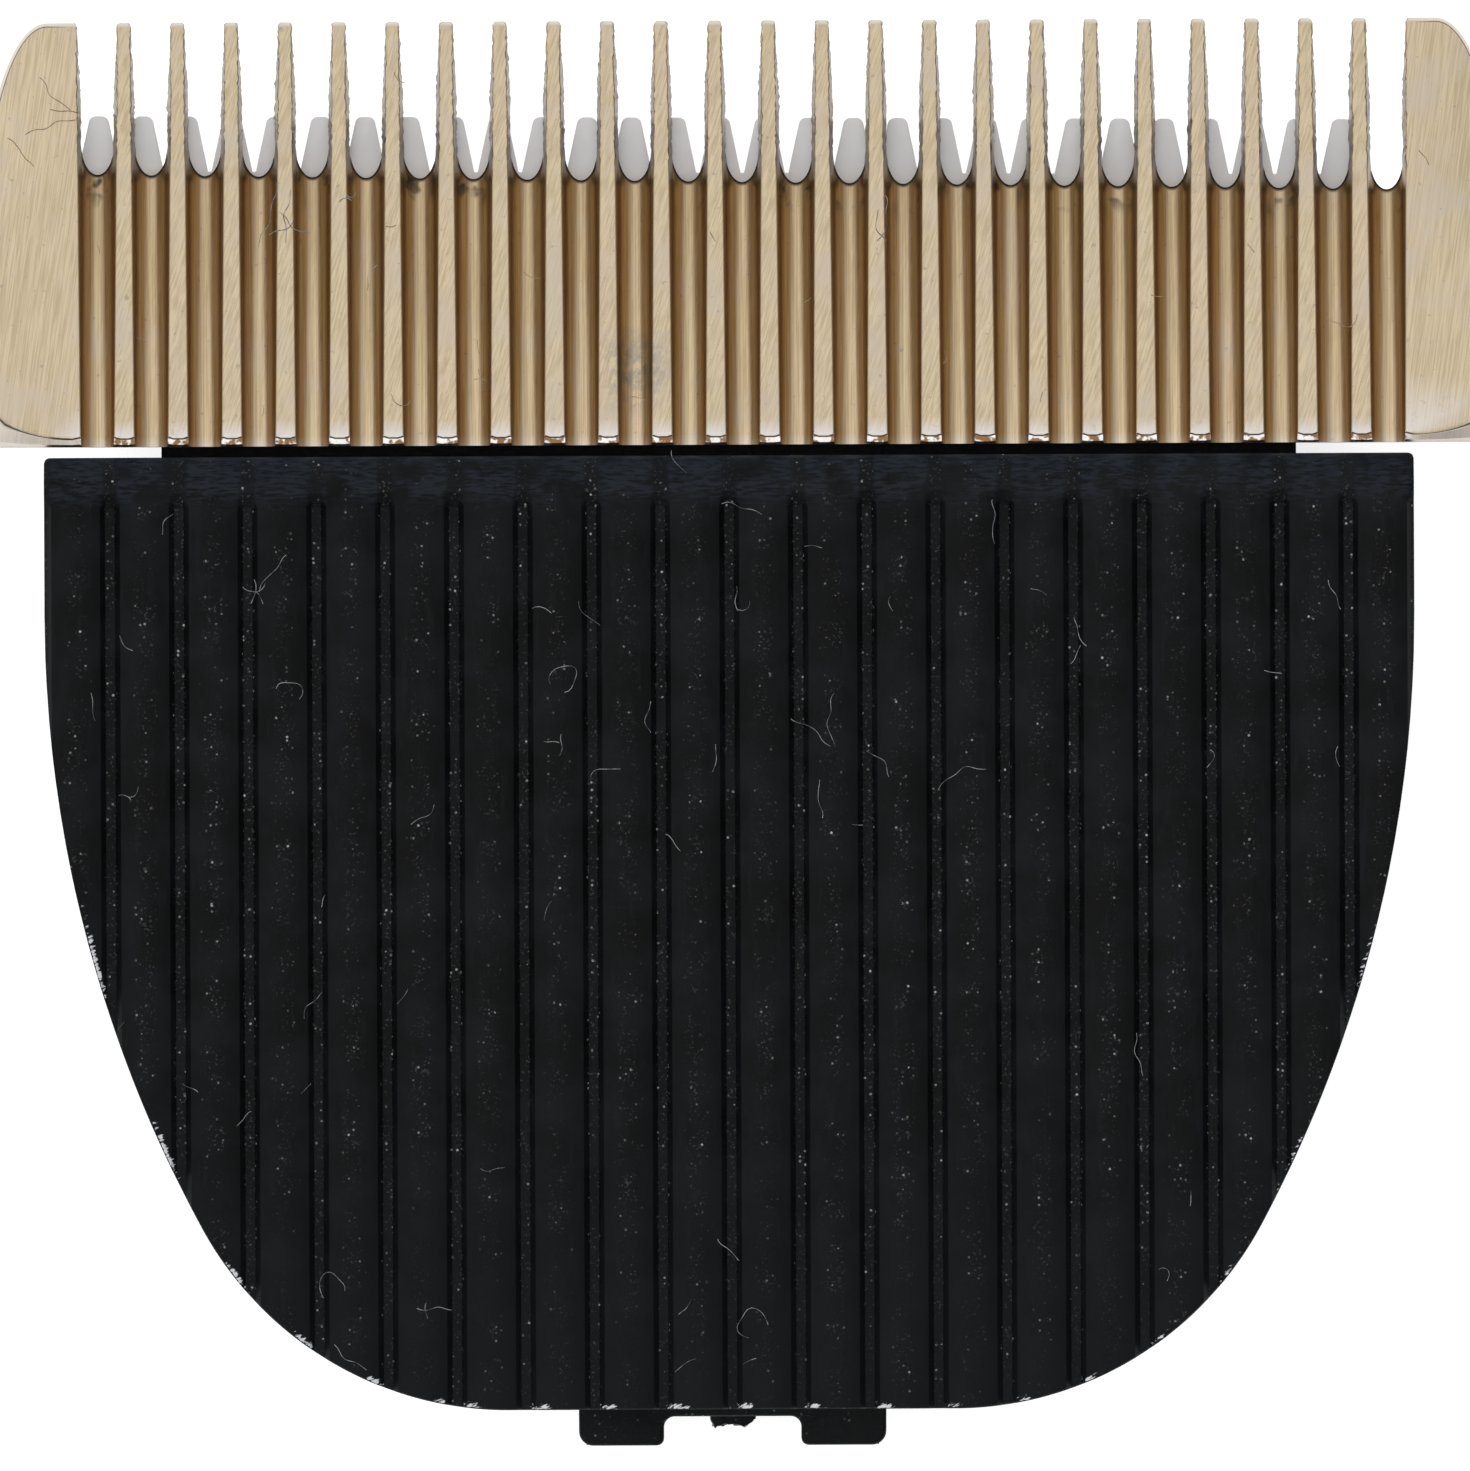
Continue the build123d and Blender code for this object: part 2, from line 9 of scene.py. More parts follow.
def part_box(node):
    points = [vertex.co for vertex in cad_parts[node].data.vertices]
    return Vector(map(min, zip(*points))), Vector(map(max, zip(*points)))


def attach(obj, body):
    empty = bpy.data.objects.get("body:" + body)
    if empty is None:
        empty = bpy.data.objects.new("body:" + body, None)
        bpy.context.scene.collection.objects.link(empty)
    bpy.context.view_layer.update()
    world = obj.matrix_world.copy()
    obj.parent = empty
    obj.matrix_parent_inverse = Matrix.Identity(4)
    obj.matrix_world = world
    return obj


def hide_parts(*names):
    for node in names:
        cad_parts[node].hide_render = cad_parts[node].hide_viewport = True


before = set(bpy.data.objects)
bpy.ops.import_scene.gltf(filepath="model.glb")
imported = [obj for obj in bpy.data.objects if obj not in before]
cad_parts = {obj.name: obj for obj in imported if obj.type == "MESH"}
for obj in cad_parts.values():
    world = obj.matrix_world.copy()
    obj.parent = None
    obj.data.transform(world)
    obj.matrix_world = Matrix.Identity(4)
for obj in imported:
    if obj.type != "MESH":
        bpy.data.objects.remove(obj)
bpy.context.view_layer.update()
scene = bpy.context.scene
mm = 0.001
weld = 0.0008  # millimetres, points nearer than this are joined
print("frame loaded")


# small helpers for node trees and meshes

def feed(tree, socket, value):
    if isinstance(value, bpy.types.NodeSocket):
        tree.links.new(value, socket)
    else:
        socket.default_value = value


def node(tree, kind, **values):
    made = tree.nodes.new(kind)
    for name, value in values.items():
        setattr(made, name, value)
    return made


def calc(tree, operation, *terms, clamp=False):
    made = node(tree, "ShaderNodeMath", operation=operation, use_clamp=clamp)
    for socket, term in zip(made.inputs, terms):
        feed(tree, socket, term)
    return made.outputs[0]


def times(tree, first, *others, clamp=False):
    for other in others:
        first = calc(tree, "MULTIPLY", first, other, clamp=clamp)
    return first


def between(tree, value, low, high, toLow=0.0, toHigh=1.0):  # eased step from low to high
    made = node(tree, "ShaderNodeMapRange", interpolation_type="SMOOTHSTEP")
    for socket, term in zip(made.inputs, (value, low, high, toLow, toHigh)):
        feed(tree, socket, term)
    return made.outputs[0]


def split(tree, vector):
    made = node(tree, "ShaderNodeSeparateXYZ")
    feed(tree, made.inputs[0], vector)
    return made.outputs[:3]


def cloud(tree, coords, scale, detail=3.0, rough=0.6):
    made = node(tree, "ShaderNodeTexNoise")
    feed(tree, made.inputs["Vector"], coords)
    feed(tree, made.inputs["Scale"], scale)
    made.inputs["Detail"].default_value = detail
    made.inputs["Roughness"].default_value = rough
    return made.outputs[0]


def streaks(tree, coords, scale, turn=0.0):  # noise drawn out along an axis that is turned about Z
    made = node(tree, "ShaderNodeMapping", vector_type="TEXTURE")
    made.inputs["Rotation"].default_value = (0, 0, math.radians(turn))
    made.inputs["Scale"].default_value = tuple(1 / s for s in scale)
    feed(tree, made.inputs["Vector"], coords)
    return cloud(tree, made.outputs[0], 1.0)


def blend(tree, share, first, second):
    made = node(tree, "ShaderNodeMix", data_type="FLOAT")
    for place, value in ((0, share), (2, first), (3, second)):
        feed(tree, made.inputs[place], value)
    return made.outputs[0]


def tint(tree, share, first, second):
    made = node(tree, "ShaderNodeMix", data_type="RGBA")
    feed(tree, made.inputs[0], share)
    for place, colour in ((6, first), (7, second)):
        feed(tree, made.inputs[place], (*colour, 1) if isinstance(colour, tuple) else colour)
    return made.outputs[2]


def painted(tree, name):
    return node(tree, "ShaderNodeAttribute", attribute_name=name).outputs["Fac"]


def bumped(tree, shader, height, strength, depth):
    made = node(tree, "ShaderNodeBump")
    made.inputs["Strength"].default_value = strength
    made.inputs["Distance"].default_value = depth * mm
    feed(tree, made.inputs["Height"], height)
    feed(tree, shader.inputs["Normal"], made.outputs[0])


def finish(name, metallic=0.0, specular=0.5):
    made = bpy.data.materials.new(name)
    made.use_nodes = True
    tree = made.node_tree
    shader = tree.nodes["Principled BSDF"]
    shader.inputs["Metallic"].default_value = metallic
    shader.inputs["Specular IOR Level"].default_value = specular
    coords = node(tree, "ShaderNodeTexCoord").outputs["Object"]
    return made, tree, shader, coords


def newTree(name, inputs):
    tree = bpy.data.node_groups.new(name, "GeometryNodeTree")

    def socket(label, side, kind):
        return tree.interface.new_socket(label, in_out=side, socket_type="NodeSocket" + kind).identifier

    socket("Geometry", "INPUT", "Geometry")
    keys = {label: socket(label, "INPUT", kind) for label, kind in inputs.items()}
    socket("Geometry", "OUTPUT", "Geometry")
    start = node(tree, "NodeGroupInput")
    end = node(tree, "NodeGroupOutput")
    return tree, keys, start.outputs, end.inputs["Geometry"]


def runTree(piece, tree, keys, values):  # the tree's result becomes the piece's own mesh
    made = piece.modifiers.new(tree.name, "NODES")
    made.node_group = tree
    for label, value in values.items():
        made[keys[label]] = value
    piece.data.update()
    ready = piece.evaluated_get(bpy.context.evaluated_depsgraph_get())
    plain = bpy.data.meshes.new_from_object(ready)
    piece.modifiers.clear()
    piece.data = plain


def stored(tree, name):
    made = node(tree, "GeometryNodeInputNamedAttribute", data_type="FLOAT")
    made.inputs["Name"].default_value = name
    return made.outputs[0]


def alongX(tree, given):  # the given shape repeated in a row about the middle
    row = node(tree, "GeometryNodeMeshLine", mode="OFFSET")
    feed(tree, row.inputs["Count"], given["Teeth"])
    half = times(tree, calc(tree, "SUBTRACT", given["Teeth"], 1), -0.5)
    start = times(tree, half, given["Pitch"])
    for label, value in (("Start Location", start), ("Offset", given["Pitch"])):
        spot = node(tree, "ShaderNodeCombineXYZ")
        feed(tree, spot.inputs[0], value)
        feed(tree, row.inputs[label], spot.outputs[0])
    copies = node(tree, "GeometryNodeInstanceOnPoints")
    feed(tree, copies.inputs["Points"], row.outputs[0])
    feed(tree, copies.inputs["Instance"], given["Geometry"])
    return copies.outputs[0]


def welded(tree, shape):
    real = node(tree, "GeometryNodeRealizeInstances")
    feed(tree, real.inputs[0], shape)
    made = node(tree, "GeometryNodeMergeByDistance")
    feed(tree, made.inputs["Geometry"], real.outputs[0])
    made.inputs["Distance"].default_value = weld * mm
    return made.outputs[0]


def coated(tree, shape, given, result):
    real = node(tree, "GeometryNodeRealizeInstances")
    feed(tree, real.inputs[0], shape)
    made = node(tree, "GeometryNodeSetMaterial")
    feed(tree, made.inputs["Geometry"], real.outputs[0])
    feed(tree, made.inputs["Material"], given["Coat"])
    feed(tree, result, made.outputs[0])


def linked(name, data):
    made = bpy.data.objects.new(name, data)
    scene.collection.objects.link(made)
    return made


def meshPiece(name, points, faces, marks=None, edges=()):
    mesh = bpy.data.meshes.new(name)
    mesh.from_pydata([tuple(p) for p in points], edges, faces)
    for label, values in (marks or {}).items():
        mesh.attributes.new(label, "FLOAT", "POINT").data.foreach_set("value", values)
    mesh.update()
    return linked(name, mesh)


@contextmanager
def editing(mesh):
    work = bmesh.new()
    work.from_mesh(mesh)
    yield work
    work.to_mesh(mesh)
    work.free()


def rounded(work, edges, offset, segments):
    bmesh.ops.bevel(work, geom=edges, offset=offset * mm, segments=segments, affect="EDGES", profile=0.5)


def closed(work):
    bmesh.ops.holes_fill(work, edges=[e for e in work.edges if e.is_boundary], sides=0)


def tidyMesh(piece, join=weld, sharp=34, fill=False):
    with editing(piece.data) as work:
        bmesh.ops.remove_doubles(work, verts=work.verts, dist=join * mm)
        bmesh.ops.dissolve_degenerate(work, edges=work.edges, dist=0.0001 * mm)
        if fill:
            closed(work)
        bmesh.ops.recalc_face_normals(work, faces=work.faces)
        loose = [v for v in work.verts if not v.link_faces]
        bmesh.ops.delete(work, geom=loose, context="VERTS")
    piece.data.shade_smooth()
    piece.data.set_sharp_from_angle(angle=math.radians(sharp))


def settle(piece, body, slot, coat, *nodes):
    piece.data.materials.clear()
    piece.data.materials.append(coat)
    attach(piece, body)
    if nodes:
        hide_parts(*nodes)
    print("placed", piece.name, len(piece.data.polygons), "faces")


def solidCopy(name, label):  # CAD nodes are loose triangles, so a copy is merged and its flat faces joined
    work = bmesh.new()
    work.from_mesh(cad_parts[name].data)
    bmesh.ops.remove_doubles(work, verts=work.verts, dist=0.0005 * mm)
    bmesh.ops.dissolve_limit(work, angle_limit=math.radians(0.4), verts=work.verts, edges=work.edges)
    mesh = bpy.data.meshes.new(label)
    work.to_mesh(mesh)
    work.free()
    return linked(label, mesh)


# gold coating on ground steel

goldLook = dict(
    light=(0.615, 0.505, 0.345), deep=(0.455, 0.365, 0.24), rose=(0.53, 0.45, 0.37), flute=(0.62, 0.49, 0.32),
    # wall is a painted shade colour for the walls of the flutes
    amber=(0.47, 0.345, 0.20), wall=(0.27, 0.16, 0.06), silver=(0.72, 0.695, 0.70), glint=(0.97, 0.93, 0.90),
    # glint and orangeGlint are painted glint colours
    orangeGlint=(0.30, 0.165, 0.075), tip=(0.55, 0.49, 0.41), flank=(0.15, 0.128, 0.105), grey=(0.27, 0.255, 0.245),
    # grime is a colour for dirt and painted shade at the roots of the gaps
    grime=(0.012, 0.010, 0.009), rough=0.29,
    endTurn=-8.0, ribTurn=-17.0,  # degrees that the grinding lines lean
    endFrom=0.0178, outside=(0.02112, 0.0212),  # metres out to the end teeth and to their outer walls
)


def goldFinish():
    look = goldLook
    made, tree, shader, coords = finish("goldSteel", metallic=1.0)
    onEnd = streaks(tree, coords, (22000, 620, 620), look["endTurn"])
    onRib = streaks(tree, coords, (19000, 1500, 1500), look["ribTurn"])
    fromMiddle = calc(tree, "ABSOLUTE", split(tree, coords)[0])
    lines = blend(tree, calc(tree, "GREATER_THAN", fromMiddle, look["endFrom"]), onRib, onEnd)
    drawn = streaks(tree, coords, (26000, 300, 300))
    patches = cloud(tree, coords, 500, 4.0, 0.65)
    specks = cloud(tree, coords, 2600, 4.0, 0.7)
    faint = between(tree, lines, 0.0, 1.0, 0.36, 0.56)  # the outer walls are hardly streaked
    calm = blend(tree, between(tree, fromMiddle, *look["outside"]), lines, faint)
    lineShade = between(tree, calm, 0.34, 0.66)
    ground = tint(tree, lineShade, look["deep"], look["light"])
    ground = tint(tree, between(tree, patches, 0.46, 0.68, 0.0, 0.6), ground, look["rose"])
    hollow = tint(tree, between(tree, drawn, 0.36, 0.62), look["amber"], look["flute"])
    hollow = tint(tree, between(tree, patches, 0.5, 0.7, 0.0, 0.4), hollow, look["rose"])
    # painted shade: the flutes darken near their walls and towards the gaps
    hollow = tint(tree, painted(tree, "wall"), hollow, look["wall"])
    body = tint(tree, painted(tree, "flute"), ground, hollow)
    chips = between(tree, cloud(tree, coords, 5200), 0.66, 0.72, 0.0, 0.6)
    body = tint(tree, chips, body, look["grey"])
    worn = times(tree, painted(tree, "rearEnd"), between(tree, specks, 0.24, 0.44), clamp=True)
    body = tint(tree, worn, body, look["silver"])
    # painted glints: white and orange spots on the rounded rear ledge of each rib
    spark = between(tree, cloud(tree, coords, 4200, 2.0, 0.6), 0.44, 0.56)
    body = tint(tree, painted(tree, "ledge"), body, tint(tree, spark, look["orangeGlint"], look["glint"]))
    body = tint(tree, painted(tree, "tipEnd"), body, look["tip"])
    # burrs and painted shade: the steep tooth flanks are coloured dark
    burrAndShade = times(tree, painted(tree, "flank"), between(tree, specks, 0.36, 0.6, 0.98, 0.5))
    body = tint(tree, burrAndShade, body, look["flank"])
    stain = times(tree, painted(tree, "stain"), between(tree, specks, 0.42, 0.58), clamp=True)
    body = tint(tree, stain, body, look["grey"])
    # dirt and painted shade in the corners at the roots of the gaps
    smudge = between(tree, cloud(tree, coords, 900), 0.58, 0.66, 0.0, 0.85)
    dirtAndShade = times(tree, painted(tree, "grime"), smudge, clamp=True)
    # painted shade: the line marks are dark lines along the rear edge, the tips and the roots
    dirtAndShade = calc(tree, "MAXIMUM", dirtAndShade, between(tree, painted(tree, "line"), 0.3, 0.95))
    body = tint(tree, dirtAndShade, body, look["grime"])
    feed(tree, shader.inputs["Base Color"], body)
    rough = calc(tree, "ADD", times(tree, lineShade, 0.10), look["rough"])
    rough = calc(tree, "ADD", rough, times(tree, dirtAndShade, 0.4))
    feed(tree, shader.inputs["Roughness"], rough)
    bumped(tree, shader, lines, 0.3, 0.005)
    return made


# comb: one tooth with half a flute on each side, repeated along X, and two wide end teeth

comb = dict(
    pitch=1.5, teeth=24, rearThick=3.0, tipThick=0.4, fluteRadius=0.45, fluteLean=8.2, fluteRearDepth=0.55,
    slotHalf=0.46, slotLand=0.37, rootAt=7.34, rootLong=0.87, rootTurn=0.87,
    tipBevel=0.14, tipNarrow=0.05, tipRound=0.085, tipSteep=0.75, steepFrom=9.6, steepLong=1.9,
    edgeRound=0.03, cornerWide=1.85, cornerLong=6.1, bandWide=0.15, rearWide=2.5, rearLong=1.65, rearDrop=0.9,
    sideEdge=0.06, arcSteps=10, wallSteps=4, rowStep=0.085, ragged=0.045, raggedScale=5200.0,
    stainAt=(-3.0, 10.2), stainSize=(1.3, 1.4), rearRows=(0.31, 0.5, 0.75), fluteFrom=1.2, fluteRows=8,
    beforeRoot=0.12, lastStep=0.05, cornerSteps=24, sideSteps=9, rearSteps=16, markBelow=0.02,
    tipMarkFrom=3.0,
)
# strengths of the marks, and where marks begin or end past the root of the gaps, with the length of the fade
# wallShade, wallShadeFade and fluteShade set the painted shade in the flutes
combWear = dict(
    wallShade=0.85, wallShadeFade=0.2, fluteShade=0.27, flank=(0.2, 0.5), shake=(0.3, 0.4), grime=(-0.05, 0.4),
    slideIn=(-1.45, 1.3), slideOut=(2.25, 1.6), rootShadeLine=(0.7, 0.3), lineWide=0.1, rearWorn=0.6,
)
# profiles from the outer face down: falls are depths, and shares run from the upper edge to the lower
rim = dict(  # rear edge, with the marks of its rings on the ribs and on the end teeth; the line marks are painted shade lines and the ledge glint marks are painted glints
    falls=(0.0, 0.045, 0.055, 0.085, 0.19), shares=(1.0, 0.86, 0.80, 0.25, 0.0), reach=0.24, nip=0.045,
    ribShadeLine=(0.4, 0.8, 0.1, 0.0, 0.0), ribWorn=(0.7, 0.4, 1.0, 1.0, 1.0), ribLedgeGlint=(0.0, 0.0, 1.0, 1.0, 0.6),
    endShadeLine=(0.0, 0.85, 0.05, 0.0, 0.0), endWorn=(0.0, 0.3, 0.45, 0.45, 0.35), floorWorn=0.35, endTip=0.4,
    guess=0.1, rounds=6,
)
tip = dict(falls=(0.0, 0.06, 0.28, 0.66, 1.0), shares=(0.0, 0.2, 0.5, 0.8, 1.0), line=0.3)  # tooth tips; line is a painted shade line along them
edgeSteps = len(rim["falls"])
combMarks = (
    "flute", "flank", "shake", "rearEnd", "tipEnd", "line",
    "grime", "stain", "slide", "lean", "wall", "ledge",
)
combLow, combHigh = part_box("comb_blade")
combDepth = (combHigh.y - combLow.y) / mm
combHalf = combHigh.x / mm
outerSlope = (comb["rearThick"] - comb["tipThick"]) / combDepth
fluteSlope = (comb["rearThick"] - comb["fluteRearDepth"] - comb["slotLand"]) / comb["rootAt"]
fluteStretch = math.hypot(1, fluteSlope)
wallTop = comb["arcSteps"] + comb["wallSteps"]  # column at the upper end of a flute's wall
tipRow = combDepth - comb["tipBevel"]


def clamped(value):
    return max(0.0, min(1.0, value))


def outerHeight(a):  # a is the distance from the rear edge, heights are above the rubbing face
    return comb["rearThick"] - outerSlope * a


def floorHeight(a):
    return comb["rearThick"] - comb["fluteRearDepth"] - fluteSlope * a


def gapHalf(a):  # half the width of the gap between two teeth, which has a round end
    back = max(0.0, (comb["rootAt"] + comb["rootLong"] - a) / comb["rootLong"])
    return comb["slotHalf"] * math.sqrt(max(0.0, 1 - back ** 2))


def fluteTurn(step):
    return (math.pi / 2 - math.radians(comb["fluteLean"])) * step / comb["arcSteps"]


def fluteColumns(a):
    # (first column, points) from the flute's middle, or from the gap's edge, up to the middle of the rib
    radius, lean = comb["fluteRadius"], math.radians(comb["fluteLean"])
    floor, outer, gap = floorHeight(a), outerHeight(a), gapHalf(a)
    bendHigh, bendOut = radius * (1 - math.sin(lean)), radius * math.cos(lean)
    columns = []
    for step in range(comb["arcSteps"]):
        out = radius * math.sin(fluteTurn(step))
        if out >= gap - 1e-6:
            columns.append((out, floor + fluteStretch * radius * (1 - math.cos(fluteTurn(step)))))
    first = comb["arcSteps"] - len(columns)
    base = max(bendHigh, bendHigh + (gap - bendOut) / math.tan(lean), -floor / fluteStretch)
    top = (outer - comb["edgeRound"] - floor) / fluteStretch
    for step in range(comb["wallSteps"] + 1):
        high = base + (top - base) * step / comb["wallSteps"]
        columns.append((bendOut + (high - bendHigh) * math.tan(lean), floor + fluteStretch * high))
    steep = comb["tipSteep"] * clamped((a - comb["steepFrom"]) / comb["steepLong"])
    columns = [(out + (columns[-1][0] - out) * steep, high) for out, high in columns]
    edge = columns[-1][0] + comb["edgeRound"]
    columns += [(edge, outer), ((edge + comb["pitch"] / 2) / 2, outer), (comb["pitch"] / 2, outer)]
    return first, columns


def combRows():
    root, start, count = comb["rootAt"], comb["fluteFrom"], comb["fluteRows"]
    before, last = comb["beforeRoot"], comb["lastStep"]
    rows = list(comb["rearRows"])
    rows += [start + (root - before - start) * i / count for i in range(count + 1)]
    rows += [root - last, root]
    for step in range(1, comb["arcSteps"] + 1):  # one row for each column that the gap's round end takes away
        share = comb["fluteRadius"] * math.sin(fluteTurn(step)) / comb["slotHalf"]
        rows.append(root + comb["rootLong"] * (1 - math.sqrt(1 - share ** 2)))
    start, end = root + comb["rootLong"], tipRow - last
    count = round((end - start) / comb["rowStep"])
    rows += [start + (end - start) * i / count for i in range(count + 1)]
    return rows + [tipRow]


def rimShare(fall):
    for i in range(edgeSteps - 1):
        if fall <= rim["falls"][i + 1]:
            part = (fall - rim["falls"][i]) / (rim["falls"][i + 1] - rim["falls"][i])
            return rim["shares"][i] + (rim["shares"][i + 1] - rim["shares"][i]) * part
    return 0.0


def rimColumn(column):  # where a column meets the rear edge: across, distance, height, fall below the rib
    reach = rim["reach"] + (rim["nip"] if column in (wallTop, wallTop + 1) else 0.0)
    a = rim["guess"]
    for again in range(rim["rounds"]):
        out, high = fluteColumns(a)[1][column]
        fall = outerHeight(a) - high
        a = rimShare(fall) * reach
    return out, reach, high, fall


def fading(mark, past, way=1):
    start, long = combWear[mark]
    return clamped(way * (past - start) / long)


def fluteSheet(place, wholeRib):
    # one flute half: rear face, flute, wall, rib top, tip face, and the rubbing face under a whole rib
    points, faces, grid, under = [], [], [], []
    marks = {label: [] for label in combMarks}
    root, wear = comb["rootAt"], combWear
    keep = None if wholeRib else -2

    def narrowed(share):  # the tips of the fine teeth are rounded
        return comb["tipRound"] * (1 - math.sqrt(1 - share ** 2)) if wholeRib else comb["tipNarrow"] * share

    def put(column, out, a, high, lean=0.0, line=0.0, rearEnd=0.0, tipEnd=0.0, ledge=0.0):
        points.append(place(out, a, high))
        onRib, past = column > wallTop, a - root
        here = dict(line=line, rearEnd=rearEnd, tipEnd=tipEnd, lean=lean, stain=0.0, ledge=ledge)
        here["flute"] = 0.0 if onRib else 1.0
        along = clamped(a / root)  # painted shade: the flutes are darker towards the gaps
        # painted shade near the flute's walls
        dark = (wear["wallShade"] - wear["wallShadeFade"] * along) * clamped(out / comb["slotHalf"]) ** 3
        here["wall"] = 0.0 if onRib else max(wear["fluteShade"] * along, dark)
        here["flank"] = 0.0 if onRib else fading("flank", past)
        here["shake"] = 0.0 if column > wallTop + 1 else fading("shake", past)
        here["grime"] = 0.0 if onRib else clamped(1.1 - abs(past - wear["grime"][0]) / wear["grime"][1])
        here["slide"] = min(fading("slideIn", past), fading("slideOut", past, -1))
        for label in combMarks:
            marks[label].append(here[label])
        return len(points) - 1

    def leanOf(column):
        share = clamped((column - comb["arcSteps"]) / comb["wallSteps"])
        return fluteSlope + (outerSlope - fluteSlope) * share

    edges = [rimColumn(c) for c in range(len(fluteColumns(1.0)[1]))][:keep]
    grid.append((0, [put(c, edge[0], 0.0, 0.0) for c, edge in enumerate(edges)]))
    for level in reversed(range(edgeSteps)):
        row = []
        for column, (out, reach, high, fall) in enumerate(edges):
            deep = max(fall, rim["falls"][level])
            onRib = column > wallTop - 1
            line = rim["ribShadeLine"][level] if onRib else 0.0
            worn = rim["ribWorn"][level] if onRib else rim["floorWorn"]
            ledge = rim["ribLedgeGlint"][level] if onRib else 0.0
            spot = rimShare(deep) * reach
            row.append(put(column, out, spot, high - (deep - fall), 0.0, line, worn, 0.0, ledge))
        grid.append((0, row))
    rearFoot, rearTop = grid[0][1], grid[-1][1]
    for a in combRows():
        first, columns = fluteColumns(a)
        columns = columns[:keep]
        row = []
        for i, (out, high) in enumerate(columns):
            ahead = max(0.0, root + comb["rootLong"] - a) / comb["rootLong"]
            fromEdge = (math.hypot(out / comb["slotHalf"], ahead) - 1) * comb["slotHalf"]
            if first + i <= wallTop:  # painted shade: a dark line round the gap's end
                line, worn = clamped(1 - fromEdge / wear["lineWide"]) * fading("rootShadeLine", a - root, -1), 0.0
            else:
                line, worn = tip["line"] if a == tipRow else 0.0, clamped(1.2 - a / wear["rearWorn"])
            row.append(put(first + i, out, a, high, leanOf(first + i), line, worn))
        grid.append((first, row))
        foot = [put(first, columns[0][0], a, 0.0)]
        if wholeRib:
            foot.append(put(wallTop + 3, comb["pitch"] / 2, a, 0.0))
        under.append((a, columns[0][1], foot))
    lower = 1 - (comb["tipThick"] - comb["tipBevel"]) / outerHeight(tipRow)
    bevel = [(tipRow + comb["tipBevel"] * share, narrowed(share), 1 - lower * fall, 1.0)
             for share, fall in zip(tip["shares"][1:], tip["falls"][1:])]
    for ahead, narrow, scale, tipEnd in bevel + [(combDepth, narrowed(1.0), 0.0, 0.0)]:
        row = []
        for i, (out, high) in enumerate(columns):
            inset = narrow * (first + i < wallTop + 2)
            row.append(put(first + i, out + inset, ahead, high * scale, tipEnd=tipEnd))
        grid.append((first, row))
    for (firstA, rowA), (firstB, rowB) in zip(grid, grid[1:]):
        if firstB == firstA + 1:
            faces.append((rowA[0], rowA[1], rowB[0]))
        for i in range(len(rowB) - 1):
            j = i + firstB - firstA
            faces.append((rowA[j], rowA[j + 1], rowB[i + 1], rowB[i]))
    lips = grid[edgeSteps + 1:-edgeSteps]  # rows along the outer face
    for i, ((a, high, foot), after) in enumerate(zip(under, under[1:])):
        nextHigh, nextFoot = after[1:]
        if a >= root and max(high, nextHigh) > 1e-6:
            faces.append((foot[0], nextFoot[0], lips[i + 1][1][0], lips[i][1][0]))
        if wholeRib:
            faces.append((foot[0], foot[1], nextFoot[1], nextFoot[0]))
    bevelFoot = [row[0] for first, row in grid[-edgeSteps:-1]]
    if wholeRib:
        faces.append(tuple(rearFoot) + tuple(reversed(under[0][2])))
        faces.append(tuple(under[-1][2]) + tuple(reversed(grid[-1][1])) + tuple(reversed(bevelFoot[:-1])))
    ribEdge = [rearTop[-1]] + [row[-1] for first, row in lips]
    gapEdge = list(reversed(rearFoot)) + [foot[0] for a, high, foot in under] + bevelFoot[:-1] + grid[-1][1]
    return points, faces, marks, ribEdge, gapEdge


def combPoint(x, a, high):
    return Vector((x * mm, combLow.y + a * mm, combLow.z + high * mm))


def toothMesh():
    points, faces, marks = [], [], {label: [] for label in combMarks}
    for side in (-1, 1):
        def place(out, a, high):
            return combPoint(side * (comb["pitch"] / 2 - out), a, high)
        halfPoints, halfFaces, halfMarks = fluteSheet(place, True)[:3]
        shift = len(points)
        points += halfPoints
        faces += [tuple(i + shift for i in corners) for corners in halfFaces]
        for label in combMarks:
            marks[label] += halfMarks[label]
    return points, faces, marks


